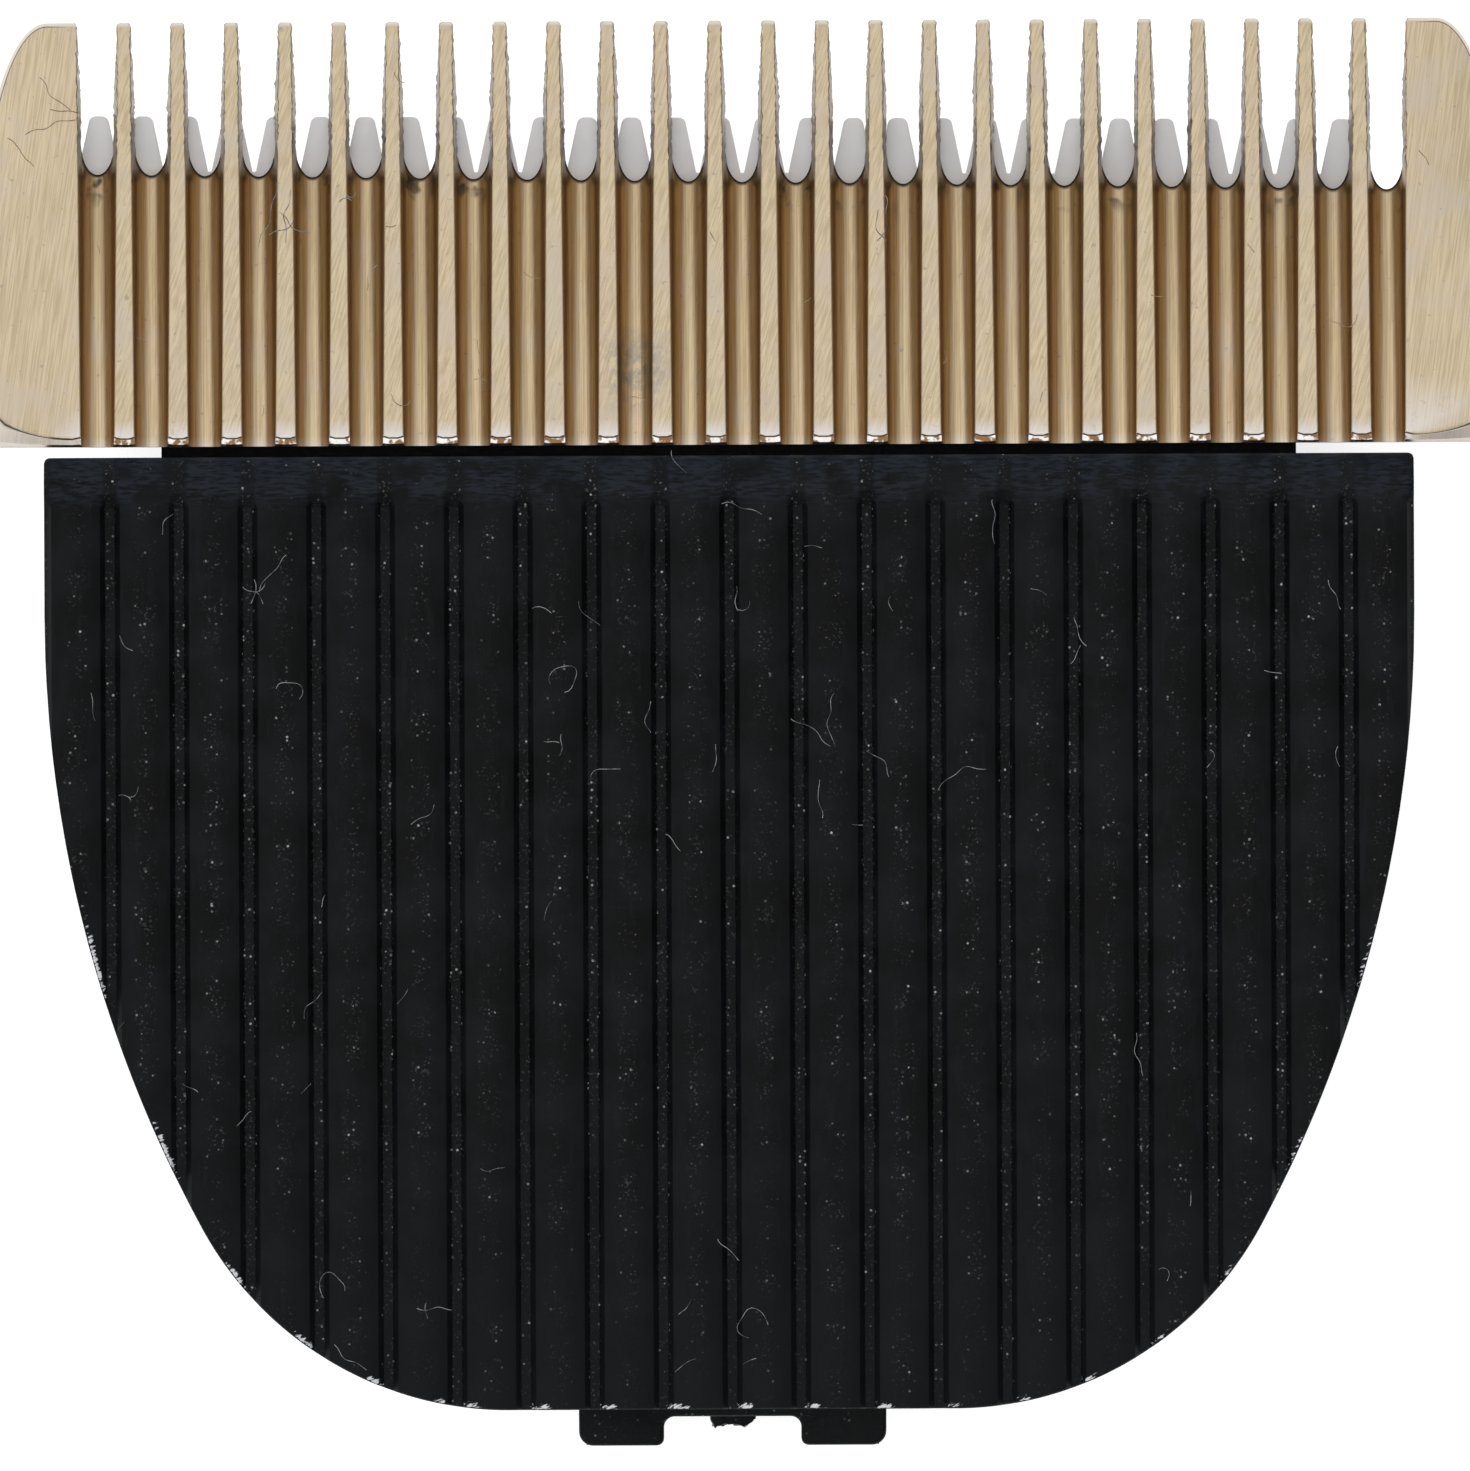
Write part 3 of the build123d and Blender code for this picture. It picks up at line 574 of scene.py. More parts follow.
def endOutline(edgeX, rearX, rearA):
    # (upper, lower, fall, shares, falls) round an end tooth, from its tip to its rear edge
    outline = [((edgeX, tipRow), (edgeX + comb["tipNarrow"], combDepth))]
    wide, long, band = comb["cornerWide"], comb["cornerLong"], comb["bandWide"]
    centreX, centreA = combHalf - wide, combDepth - long
    steps = comb["cornerSteps"]
    for i in range(steps + 1):
        turn = math.radians(90 - 90 * i / steps)
        across, ahead = math.cos(turn), math.sin(turn)
        upper = (centreX + (wide - band) * across, centreA + (long - comb["tipBevel"]) * ahead)
        outline.append((upper, (centreX + wide * across, centreA + long * ahead)))
    cornerX, cornerA = combHalf - comb["sideEdge"] - comb["rearWide"], rim["reach"] + comb["rearLong"]
    steps = comb["sideSteps"]
    for i in range(1, steps):
        a = centreA + (cornerA - centreA) * i / steps
        inset = band + (comb["sideEdge"] - band) * i / steps
        outline.append(((combHalf - inset, a), (combHalf, a)))
    front = outerHeight(tipRow) - comb["tipThick"] + comb["tipBevel"]
    outline = [(upper, lower, front, tip["shares"], tip["falls"]) for upper, lower in outline]
    shares = [1 - share for share in rim["shares"]]
    falls = [fall / rim["falls"][-1] for fall in rim["falls"]]
    steps = comb["rearSteps"]
    for i in range(steps + 1):
        turn = math.radians(90 * i / steps)
        past = 2 * i / steps - 1  # from -1 on the side, over 0 at the corner, to 1 on the rear edge
        upper = (cornerX + comb["rearWide"] * math.cos(turn), cornerA - comb["rearLong"] * math.sin(turn))
        lower = (combHalf, -cornerA * past)
        if past > 0:
            lower = (combHalf + (cornerX - combHalf) * past, 0.0)
        fall = rim["falls"][-1] + (comb["rearDrop"] - rim["falls"][-1]) * math.sin(2 * turn)
        outline.append((upper, lower, fall, shares, falls))
    outline.append(((rearX, rearA), (rearX, 0.0), rim["falls"][-1], shares, falls))
    return outline


def endToothMesh(side):
    inner = comb["teeth"] / 2 * comb["pitch"]

    def place(out, a, high):
        return combPoint(side * (inner + out), a, high)

    points, faces, marks, ribEdge, gapEdge = fluteSheet(place, False)

    def put(x, a, high, rearEnd=0.0, tipEnd=0.0, line=0.0):
        points.append(combPoint(side * x, a, high))
        here = dict(rearEnd=rearEnd, tipEnd=tipEnd, line=line)
        for label in combMarks:
            marks[label].append(here.get(label, 0.0))
        return len(points) - 1

    edgeX = inner + fluteColumns(tipRow)[1][-3][0]
    rear = points[ribEdge[0]]
    rings = [[] for level in range(edgeSteps + 2)]
    outline = endOutline(edgeX, abs(rear.x) / mm, (rear.y - combLow.y) / mm)
    for i, (upper, lower, fall, shares, falls) in enumerate(outline):
        top = outerHeight(upper[1])
        atFront = clamped(upper[1] / comb["tipMarkFrom"] - 1)
        for level in range(edgeSteps):
            x = upper[0] + (lower[0] - upper[0]) * shares[level]
            a = upper[1] + (lower[1] - upper[1]) * shares[level]
            tipEnd = rim["endTip"] * atFront if level > 1 else 0.0
            high = top - fall * falls[level]
            rings[level].append(put(x, a, high, rim["endWorn"][level], tipEnd, rim["endShadeLine"][level]))
        below = comb["markBelow"] if 0 < i < len(outline) - 1 else 0.0  # ends the bevel's marks just under it
        rings[-2].append(put(lower[0], lower[1], top - fall - below))
        rings[-1].append(put(lower[0], lower[1], 0.0))
    for ring, nextRing in zip(rings, rings[1:]):
        for i in range(len(ring) - 1):
            faces.append((ring[i], ring[i + 1], nextRing[i + 1], nextRing[i]))
    faces.append(tuple(ribEdge) + tuple(rings[0]))
    faces.append(tuple(gapEdge) + tuple(rings[-1]))
    return points, faces, marks


def combTree():
    # repeats the tooth, joins the end teeth, turns the line of the roots and roughens the flanks as wear does
    tree, keys, given, result = newTree("combTeeth", {
        "Pitch": "Float", "Teeth": "Int", "End teeth": "Object", "Root turn": "Float", "Ragged": "Float",
        "Ragged scale": "Float", "Coat": "Material",
    })
    teeth = alongX(tree, given)
    ends = node(tree, "GeometryNodeObjectInfo")
    feed(tree, ends.inputs["Object"], given["End teeth"])
    join = node(tree, "GeometryNodeJoinGeometry")
    feed(tree, join.inputs[0], teeth)
    feed(tree, join.inputs[0], ends.outputs["Geometry"])
    solid = welded(tree, join.outputs[0])
    spot = node(tree, "GeometryNodeInputPosition").outputs[0]
    ahead = times(tree, split(tree, spot)[0], calc(tree, "TANGENT", given["Root turn"]))
    ahead = times(tree, ahead, stored(tree, "slide"), -1.0)
    shake = cloud(tree, spot, given["Ragged scale"], 4.0, 0.7)
    push = times(tree, calc(tree, "SUBTRACT", shake, 0.5), given["Ragged"])
    move = node(tree, "ShaderNodeCombineXYZ")
    feed(tree, move.inputs[0], times(tree, push, 4.0, stored(tree, "shake")))
    feed(tree, move.inputs[1], ahead)
    feed(tree, move.inputs[2], times(tree, ahead, stored(tree, "lean"), -1.0))
    shift = node(tree, "GeometryNodeSetPosition")
    feed(tree, shift.inputs["Geometry"], solid)
    feed(tree, shift.inputs["Offset"], move.outputs[0])
    coated(tree, shift.outputs[0], given, result)
    return tree, keys


def buildComb(coat):
    ends = [meshPiece("endTooth", *endToothMesh(side)) for side in (-1, 1)]
    work = bmesh.new()
    for end in ends:
        work.from_mesh(end.data)
    work.to_mesh(ends[0].data)
    work.free()
    piece = meshPiece("combBlade", *toothMesh())
    tree, keys = combTree()
    runTree(piece, tree, keys, {
        "Pitch": comb["pitch"] * mm, "Teeth": comb["teeth"], "End teeth": ends[0],
        "Root turn": math.radians(comb["rootTurn"]), "Ragged": comb["ragged"] * mm,
        "Ragged scale": comb["raggedScale"], "Coat": coat,
    })
    for end in ends:
        bpy.data.objects.remove(end)
    tidyMesh(piece, sharp=18)
    stain = piece.data.attributes["stain"].data
    for point, mark in zip(piece.data.vertices, stain):  # one grey patch near the middle
        away = [(c / mm - at) / size for c, at, size in zip(point.co, comb["stainAt"], comb["stainSize"])]
        mark.value = max(0.0, 1 - Vector(away).length)
    settle(piece, "holder", "gold_steel", coat, "comb_blade")


# ceramic cutter

cutter = dict(
    pitch=1.24, teeth=29, tipWidth=0.48, gapDepth=1.54, rootWidth=0.1, corner=0.15, tipThick=0.55,
    slopeLong=2.4, edge=0.02, cornerSteps=5, sharpFrom=40,
    turn=-0.36,  # degrees, it sits a little askew under the comb
    dark=(0.94, 0.92, 0.925), pale=(0.97, 0.96, 0.965),
)


def ceramicFinish():
    made, tree, shader, coords = finish("whiteCeramic", specular=0.5)
    mottle = cloud(tree, coords, 1400, 4.0, 0.6)
    fine = cloud(tree, coords, 16000)
    body = tint(tree, between(tree, mottle, 0.35, 0.7), cutter["dark"], cutter["pale"])
    feed(tree, shader.inputs["Base Color"], body)
    feed(tree, shader.inputs["Roughness"], between(tree, fine, 0.3, 0.7, 0.38, 0.52))
    bumped(tree, shader, fine, 0.25, 0.004)
    return made


def cutterToothMesh():
    low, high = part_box("cutter_blade")
    half, depth = cutter["pitch"] / 2, cutter["gapDepth"]
    mouth = (cutter["pitch"] - cutter["tipWidth"]) / 2
    long, thick = (high.y - low.y) / mm, (high.z - low.z) / mm
    lean = mouth / depth
    outline = [(-half, -depth), (-half + cutter["rootWidth"] / 2, -depth)]
    tipX = half - mouth
    corner = cutter["corner"]
    steps = cutter["cornerSteps"]
    for i in range(steps + 1):  # rounded tooth corner
        turn = math.radians(180 - 90 * i / steps)
        x = -tipX + corner + corner * math.cos(turn) - lean * corner * (1 - math.sin(turn))
        outline.append((x, -corner + corner * math.sin(turn)))
    outline += [(-x, y) for x, y in reversed(outline)]
    middle = (low.x + high.x) / 2

    def under(y):
        return -thick + (thick - cutter["tipThick"]) * clamped(1 + y / cutter["slopeLong"])

    def point(x, y, z):
        return Vector((middle + x * mm, high.y + y * mm, high.z + z * mm))

    back = [(half, -cutter["slopeLong"]), (half, -long), (-half, -long), (-half, -cutter["slopeLong"])]
    ring = outline + back
    points = [point(x, y, 0.0) for x, y in ring] + [point(x, y, under(y)) for x, y in ring]
    count, front = len(ring), len(outline)
    faces = [tuple(range(count))]
    faces.append(tuple(count + i for i in range(front)) + (count + front, count + count - 1))
    faces.append((count + front, count + front + 1, count + front + 2, count + front + 3))
    for i in range(front - 1):
        faces.append((i, i + 1, count + i + 1, count + i))
    faces.append((front + 1, front + 2, count + front + 2, count + front + 1))
    return points, faces


def cutterTree():
    tree, keys, given, result = newTree("cutterTeeth", {"Pitch": "Float", "Teeth": "Int", "Coat": "Material"})
    coated(tree, welded(tree, alongX(tree, given)), given, result)
    return tree, keys


def buildCutter(coat):
    piece = meshPiece("cutterBlade", *cutterToothMesh())
    tree, keys = cutterTree()
    runTree(piece, tree, keys, {"Pitch": cutter["pitch"] * mm, "Teeth": cutter["teeth"], "Coat": coat})
    tidyMesh(piece, fill=True)
    low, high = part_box("cutter_blade")
    middle = Vector(((low.x + high.x) / 2, high.y, high.z))
    turn = Matrix.Rotation(math.radians(cutter["turn"]), 3, "Z")
    with editing(piece.data) as work:
        sharp = math.radians(cutter["sharpFrom"])
        rims = [e for e in work.edges if len(e.link_faces) == 2 and e.calc_face_angle(0) > sharp]
        rounded(work, rims, cutter["edge"], 2)
        bmesh.ops.rotate(work, verts=work.verts, cent=middle, matrix=turn)
    tidyMesh(piece)
    settle(piece, "cutter", "white_ceramic", coat, "cutter_blade")


# black moulding

plasticLook = dict(
    base=(0.0022, 0.0024, 0.0026), pale=(0.0058, 0.0067, 0.0076), dust=(0.045, 0.046, 0.049),
    # sky is a painted reflection colour for the front slope
    glintSpeck=(0.55, 0.55, 0.55), sky=(0.013, 0.0165, 0.023), brimHighlight=(0.024, 0.027, 0.032),
    scuff=(0.66, 0.66, 0.69), rough=0.34,
    fade=(-0.027, -0.003),  # metres along Y over which the dust and the painted glints gain strength
)


def dots(tree, coords, scale, low, high, wide):  # a chosen share of small cells becomes dots
    cells = node(tree, "ShaderNodeTexVoronoi", feature="F1")
    feed(tree, cells.inputs["Vector"], coords)
    cells.inputs["Scale"].default_value = scale
    pick = node(tree, "ShaderNodeSeparateColor")
    feed(tree, pick.inputs[0], cells.outputs["Color"])
    chosen = between(tree, pick.outputs[0], low, high)
    return times(tree, chosen, between(tree, cells.outputs["Distance"], wide, wide * 0.4))


def plasticFinish():
    look = plasticLook
    made, tree, shader, coords = finish("holderPlastic", specular=0.08)
    broad = cloud(tree, coords, 520)
    grain = cloud(tree, coords, 9000, 4.0, 0.65)
    streak = streaks(tree, coords, (5000, 700, 5000))
    wrinkle = streaks(tree, coords, (2500, 14000, 2500))
    slope = painted(tree, "slope")
    lane = painted(tree, "grooveFloor")
    band = calc(tree, "MAXIMUM", painted(tree, "crest"), lane)
    patchy = cloud(tree, coords, 1300, 3.0, 0.7)
    onRib = times(tree, painted(tree, "crest"), between(tree, patchy, 0.42, 0.64))
    onRib = times(tree, onRib, between(tree, slope, 0.0, 1.0, 1.0, 0.2))
    inLane = times(tree, between(tree, lane, 0.5, 1.0), between(tree, patchy, 0.34, 0.6))
    dustAndGlints = calc(tree, "MAXIMUM", onRib, inLane)
    ahead = between(tree, split(tree, coords)[1], *look["fade"])
    dustAndGlints = times(tree, dustAndGlints, between(tree, ahead, 0.0, 1.0, 0.4, 1.0))
    flecks = between(tree, cloud(tree, coords, 12500, 2.0, 0.55), 0.57, 0.70)
    fine = times(tree, flecks, dustAndGlints, clamp=True)
    # painted glints: pale dots in the dust bands stand for tiny facets catching the light
    glintDots = times(tree, dots(tree, coords, 6600, 0.57, 1.04, 0.31), dustAndGlints, clamp=True)
    glintDots = times(tree, glintDots, between(tree, grain, 0.38, 0.56))
    body = tint(tree, between(tree, broad, 0.35, 0.7), look["base"], look["pale"])
    body = tint(tree, between(tree, ahead, 0.0, 1.0, 0.85, 0.0), body, look["pale"])
    body = tint(tree, between(tree, streak, 0.52, 0.72, 0.0, 0.7), body, look["pale"])
    # painted reflection: a bluish sky sheen in patches on the front slope
    skyReflection = times(tree, slope, between(tree, wrinkle, 0.36, 0.6), clamp=True)
    skyReflection = times(tree, skyReflection, between(tree, cloud(tree, coords, 1100, 2.0, 0.5), 0.34, 0.54))
    skyReflection = times(tree, skyReflection, between(tree, lane, 0.0, 1.0, 1.0, 0.15))
    body = tint(tree, skyReflection, body, look["sky"])
    # painted highlight: a lighter line along the rounded front edge
    body = tint(tree, painted(tree, "brimHighlight"), body, look["brimHighlight"])
    body = tint(tree, fine, body, look["dust"])
    body = tint(tree, glintDots, body, look["glintSpeck"])
    scraped = painted(tree, "scuff")
    drag = streaks(tree, coords, (3200, 15000, 9000), 24)
    torn = calc(tree, "ADD", scraped, times(tree, drag, 2.2))
    scuff = times(tree, between(tree, torn, 1.62, 1.86), between(tree, scraped, 0.05, 0.25))
    body = tint(tree, scuff, body, look["scuff"])
    feed(tree, shader.inputs["Base Color"], body)
    rough = between(tree, grain, 0.3, 0.7, look["rough"] - 0.06, look["rough"] + 0.10)
    feed(tree, shader.inputs["Roughness"], rough)
    height = calc(tree, "ADD", times(tree, grain, 0.35), times(tree, streak, 0.2))
    pits = times(tree, band, cloud(tree, coords, 14000, 3.0, 0.7), 0.9)
    folds = times(tree, slope, wrinkle, 1.4)
    height = calc(tree, "ADD", height, calc(tree, "ADD", pits, folds))
    bumped(tree, shader, height, 0.5, 0.02)
    return made


face = dict(
    width=38.2, straight=4.4, sideRadius=36.0, sideTurn=28.4, rearRadius=9.7, frontCorner=0.16,
    crownRadius=220.0, crownBack=8.0, pitch=1.918, ribs=20, groove=0.56, grooveDeep=0.3, wallLean=0.15,
    ribCrown=0.11, slopeLong=1.4, slopeDrop=0.6, grooveStart=1.0, grooveFull=1.4, under=7.2, combGap=0.3,
    edgeDrop=0.05, scuffOut=0.55, scuffWide=0.40, scuffLong=0.2, scuffIn=0.05, scuffTurn=-8.0, faintFrom=5.5,
    faint=0.62, scuffBehind=8.0, slopeMark=1.5, slopeFade=0.5, brimHighlight=0.8, brimLong=0.08, edgeFace=0.08,
    steepFrom=19.0, steepest=12.0, narrowUnder=6.0, probe=0.01, middleRows=24,
    least=0.012,  # columns stand at least this far apart
    ribSteps=(0, 0.16, 0.32, 0.46, 0.58), ribEdge=0.03,
    sides=(0, 0.02, 0.06, 0.12, 0.2, 0.3, 0.43, 0.6, 0.8, 1.05, 1.35, 1.7, 2.1, 2.6, 3.2, 3.8),
    fronts=(0.0, 0.03, 0.09, 0.2, 0.36, 0.55, 0.78, 1.0, 1.1, 1.2, 1.3, 1.4, 1.75),
    rears=(0.9, 0.6, 0.4, 0.26, 0.16, 0.09, 0.04, 0.0),
)
tongue = dict(
    round=0.13, inner=0.2, innerHalf=2.0, behind=0.1, stubHalf=0.8, stubBase=0.16, rough=0.12, grain=5200.0,
    segments=4, cuts=5, sharpFrom=50, seed=7,
)
holderLow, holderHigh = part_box("blade_holder")
holderX = (holderLow.x + holderHigh.x) / 2
faceFront = combLow.y / mm - face["combGap"]
faceTop = holderHigh.z / mm


def rearEdge(x):  # how far the outline runs back from the front edge at this distance from the middle
    turn, x = math.radians(face["sideTurn"]), abs(x)
    sideCentre = face["width"] / 2 - face["sideRadius"]
    flat = sideCentre + (face["sideRadius"] - face["rearRadius"]) * math.cos(turn)
    tangent = flat + face["rearRadius"] * math.cos(turn)
    full = face["straight"] + face["sideRadius"] * math.sin(turn) + face["rearRadius"] * (1 - math.sin(turn))
    if x <= flat:
        return full
    if x <= tangent:
        return full - face["rearRadius"] + math.sqrt(face["rearRadius"] ** 2 - (x - flat) ** 2)
    return face["straight"] + math.sqrt(max(0.0, face["sideRadius"] ** 2 - (x - sideCentre) ** 2))


tongueFrom = (faceFront - rearEdge(0.0) - tongue["behind"]) * mm


def frontEdge(x):
    reach = abs(x) - (face["width"] / 2 - face["frontCorner"])
    if reach <= 0:
        return 0.0
    return face["frontCorner"] - math.sqrt(max(0.0, face["frontCorner"] ** 2 - reach ** 2))


def ribMiddle(i):
    return (i - (face["ribs"] - 1) / 2) * face["pitch"]


def faceColumns():
    half, pitch = face["width"] / 2, face["pitch"]
    rib = (pitch - face["groove"]) / 2
    lean = face["wallLean"]
    across = [*face["ribSteps"], rib - face["ribEdge"], rib, rib + lean / 2, rib + lean]
    xs = []
    for i in range(face["ribs"]):
        for u in across:
            xs += [ribMiddle(i) + u, ribMiddle(i) - u]
        xs.append(ribMiddle(i) + pitch / 2)
    for back in face["sides"]:
        xs += [half - back, back - half]
    xs = sorted(x for x in xs if abs(x) <= half + 1e-9)
    kept = [xs[0]]
    for x in xs[1:]:
        if x - kept[-1] > face["least"]:
            kept.append(x)
    kept[-1] = half
    return kept


def slopeHeight(back):  # rounded front edge
    long, drop = face["slopeLong"], face["slopeDrop"]
    radius = (long ** 2 + drop ** 2) / (2 * drop)
    reach = max(0.0, long - back)
    return faceTop - (radius - math.sqrt(radius ** 2 - reach ** 2)) if reach else faceTop + 1


def crownHeight(back):
    radius = face["crownRadius"]
    return faceTop - radius + math.sqrt(radius ** 2 - (back - face["crownBack"]) ** 2)


def scuffMark(x, fromRear, steep):  # the rearmost corner of each rib's end is scraped white
    near = min(range(face["ribs"]), key=lambda i: abs(x - ribMiddle(i)))
    side = 1 if x < face["scuffTurn"] else -1
    off = abs(x - ribMiddle(near) - side * face["scuffOut"])
    strength = 1.0 if x < face["faintFrom"] else face["faint"]
    inside = fromRear / steep
    along = clamped(inside / face["scuffIn"]) * clamped(1.25 - inside / face["scuffLong"])
    return strength * clamped(1.2 - off / face["scuffWide"]) * along


def faceMesh():
    xs, rows, rears, probe = faceColumns(), face["middleRows"], face["rears"], face["probe"]
    points, grid = [], []
    marks = {"crownZ": [], "drop": [], "scuff": [], "slope": [], "groove": [], "brimHighlight": []}
    for x in xs:
        start, end = frontEdge(x), rearEdge(x)
        steep = math.hypot(1, (rearEdge(x + probe) - rearEdge(x - probe)) / (2 * probe))
        if abs(x) >= face["steepFrom"]:
            steep = face["steepest"]
        squeeze = min(1.0, (end - start) / face["narrowUnder"])
        backs = [start + f * squeeze for f in face["fronts"]]
        first, last = backs[-1], end - rears[0] * squeeze
        backs += [first + (last - first) * (i + 1) / (rows + 1) for i in range(rows)]
        backs += [end - r * squeeze for r in rears]
        column = []
        for back in backs:
            fromEdge = min(back - start, end - back, face["width"] / 2 - abs(x))
            high = min(slopeHeight(back), faceTop + 0.5)
            grooved = (back - face["grooveStart"]) / (face["grooveFull"] - face["grooveStart"])
            here = dict(
                crownZ=crownHeight(back) * mm,
                drop=face["edgeDrop"] * max(0.0, 1 - fromEdge / face["edgeDrop"]) ** 2 * mm,
                scuff=scuffMark(x, end - back, steep) if back > face["scuffBehind"] else 0.0,
                slope=clamped((face["slopeMark"] - back) / face["slopeFade"]),
                brimHighlight=face["brimHighlight"] * clamped(1.2 - (back - start) / face["brimLong"]) if back < 1 else 0.0,
                groove=clamped(grooved),
            )
            points.append(Vector((holderX + x * mm, (faceFront - back) * mm, high * mm)))
            for label in marks:
                marks[label].append(here[label])
            column.append(len(points) - 1)
        grid.append(column)
    faces = []
    for left, right in zip(grid, grid[1:]):
        for j in range(len(left) - 1):
            faces.append((left[j], left[j + 1], right[j + 1], right[j]))
    ring = [column[0] for column in grid] + grid[-1][1:]
    ring += [column[-1] for column in reversed(grid[:-1])] + list(reversed(grid[0][1:-1]))
    rings = [ring]
    for sunk in (False, True):  # a ring just below the edge, where the scuffs end, and the ring underneath
        rings.append([])
        for i in ring:
            back = faceFront - points[i].y / mm
            high = min(slopeHeight(back), crownHeight(back)) - face["grooveDeep"] - face["edgeFace"]
            if sunk:
                high = face["under"]
            points.append(Vector((points[i].x, points[i].y, high * mm)))
            for label in marks:
                marks[label].append(1.0 if label == "crownZ" else 0.0)
            rings[-1].append(len(points) - 1)
    for upper, lower in zip(rings, rings[1:]):
        for i in range(len(ring)):
            j = (i + 1) % len(ring)
            faces.append((upper[i], upper[j], lower[j], lower[i]))
    faces.append(tuple(rings[-1]))
    return points, faces, marks


def ribTree():
    # lifts the ribs out of the crowned face and marks their crests and the groove floors
    tree, keys, given, result = newTree("faceRibs", {
        "Middle": "Float", "Pitch": "Float", "Groove": "Float", "Groove deep": "Float", "Wall lean": "Float",
        "Rib crown": "Float", "Coat": "Material",
    })
    x, y, z = split(tree, node(tree, "GeometryNodeInputPosition").outputs[0])
    across = calc(tree, "DIVIDE", calc(tree, "SUBTRACT", x, given["Middle"]), given["Pitch"])
    away = calc(tree, "ABSOLUTE", calc(tree, "SUBTRACT", calc(tree, "FRACT", across), 0.5))
    away = times(tree, away, given["Pitch"])
    rib = times(tree, calc(tree, "SUBTRACT", given["Pitch"], given["Groove"]), 0.5)
    share = calc(tree, "DIVIDE", away, rib)
    arch = calc(tree, "MINIMUM", times(tree, share, share, given["Rib crown"]), given["Rib crown"])
    wall = calc(tree, "DIVIDE", calc(tree, "SUBTRACT", away, rib), given["Wall lean"], clamp=True)
    deeper = calc(tree, "SUBTRACT", given["Groove deep"], given["Rib crown"])
    sink = calc(tree, "ADD", arch, times(tree, wall, deeper))
    sink = times(tree, sink, stored(tree, "groove"))
    level = calc(tree, "MINIMUM", calc(tree, "SUBTRACT", stored(tree, "crownZ"), sink), z)
    spot = node(tree, "ShaderNodeCombineXYZ")
    for place, value in enumerate((x, y, calc(tree, "SUBTRACT", level, stored(tree, "drop")))):
        feed(tree, spot.inputs[place], value)
    shape = given["Geometry"]
    for label, value in (("crest", between(tree, share, 0.56, 0.2)), ("grooveFloor", wall)):
        made = node(tree, "GeometryNodeStoreNamedAttribute", data_type="FLOAT", domain="POINT")
        feed(tree, made.inputs["Geometry"], shape)
        made.inputs["Name"].default_value = label
        feed(tree, made.inputs["Value"], value)
        shape = made.outputs[0]
    shift = node(tree, "GeometryNodeSetPosition")
    feed(tree, shift.inputs["Geometry"], shape)
    feed(tree, shift.inputs["Position"], spot.outputs[0])
    coated(tree, shift.outputs[0], given, result)
    return tree, keys


def softenTongue(work):  # rounds the hook tongue's edges and roughens the stub of the moulding gate
    def near(v):
        return v.co.y < tongueFrom

    def stub(v):
        return near(v) and abs(v.co.x - holderX) < tongue["stubHalf"] * mm

    feet = [v for v in work.verts if near(v) and not stub(v)]
    top, end = max(v.co.z for v in feet), min(v.co.y for v in feet)
    inner = {v for v in feet if v.co.y < end + 1e-6 and abs(v.co.x - holderX) < tongue["innerHalf"] * mm}
    edges = [e for e in work.edges if set(e.verts) <= inner]
    upright = [e for e in edges if abs(e.verts[0].co.z - e.verts[1].co.z) > mm]
    rounded(work, upright, tongue["inner"], tongue["segments"])
    upper = {v for v in work.verts if near(v) and v.co.z > top - 1e-6}
    edges = [e for e in work.edges if set(e.verts) <= upper]
    sharp = [e for e in edges if e.calc_face_angle(0) > math.radians(tongue["sharpFrom"])]
    rounded(work, sharp, tongue["round"], tongue["segments"])
    edges = [e for e in work.edges if all(stub(v) for v in e.verts)]
    bmesh.ops.subdivide_edges(work, edges=edges, cuts=tongue["cuts"], use_grid_fill=True)
    rough = {v for v in work.verts if stub(v) and v.co.y < tongueFrom - tongue["stubBase"] * mm}
    torn = [f for f in work.faces if any(v in rough for v in f.verts)]
    bmesh.ops.triangulate(work, faces=torn, quad_method="SHORT_EDGE")
    noise.seed_set(tongue["seed"])
    for v in rough:
        v.co += noise.noise_vector(v.co * tongue["grain"]) * tongue["rough"] * mm


def buildHolder(coat):  # the ribbed face is made here, and what lies under it is cut from the CAD copy
    piece = meshPiece("ribbedFace", *faceMesh())
    tree, keys = ribTree()
    sizes = dict(pitch="Pitch", groove="Groove", grooveDeep="Groove deep", wallLean="Wall lean")
    sizes["ribCrown"] = "Rib crown"
    values = {label: face[key] * mm for key, label in sizes.items()}
    runTree(piece, tree, keys, {"Middle": holderX, "Coat": coat, **values})
    tidyMesh(piece, join=0.0003, sharp=30)
    settle(piece, "holder", "holder_plastic", coat, "blade_holder")
    body = solidCopy("blade_holder", "holderBody")
    with editing(body.data) as work:
        bmesh.ops.bisect_plane(
            work, geom=list(work.verts) + list(work.edges) + list(work.faces), dist=1e-7,
            plane_co=(0, 0, (face["under"] + 0.02) * mm), plane_no=(0, 0, 1), clear_outer=True,
        )
        closed(work)
        softenTongue(work)
    tidyMesh(body, sharp=30)
    dustAndGlints = body.data.attributes.new("crest", "FLOAT", "POINT")
    for point, mark in zip(body.data.vertices, dustAndGlints.data):
        mark.value = 1.0 if point.co.y < tongueFrom else 0.0
    settle(body, "holder", "holder_plastic", coat, "blade_holder")


# lint and cut hair left on the head: (x, y, length, heading, bend) in millimetres and degrees

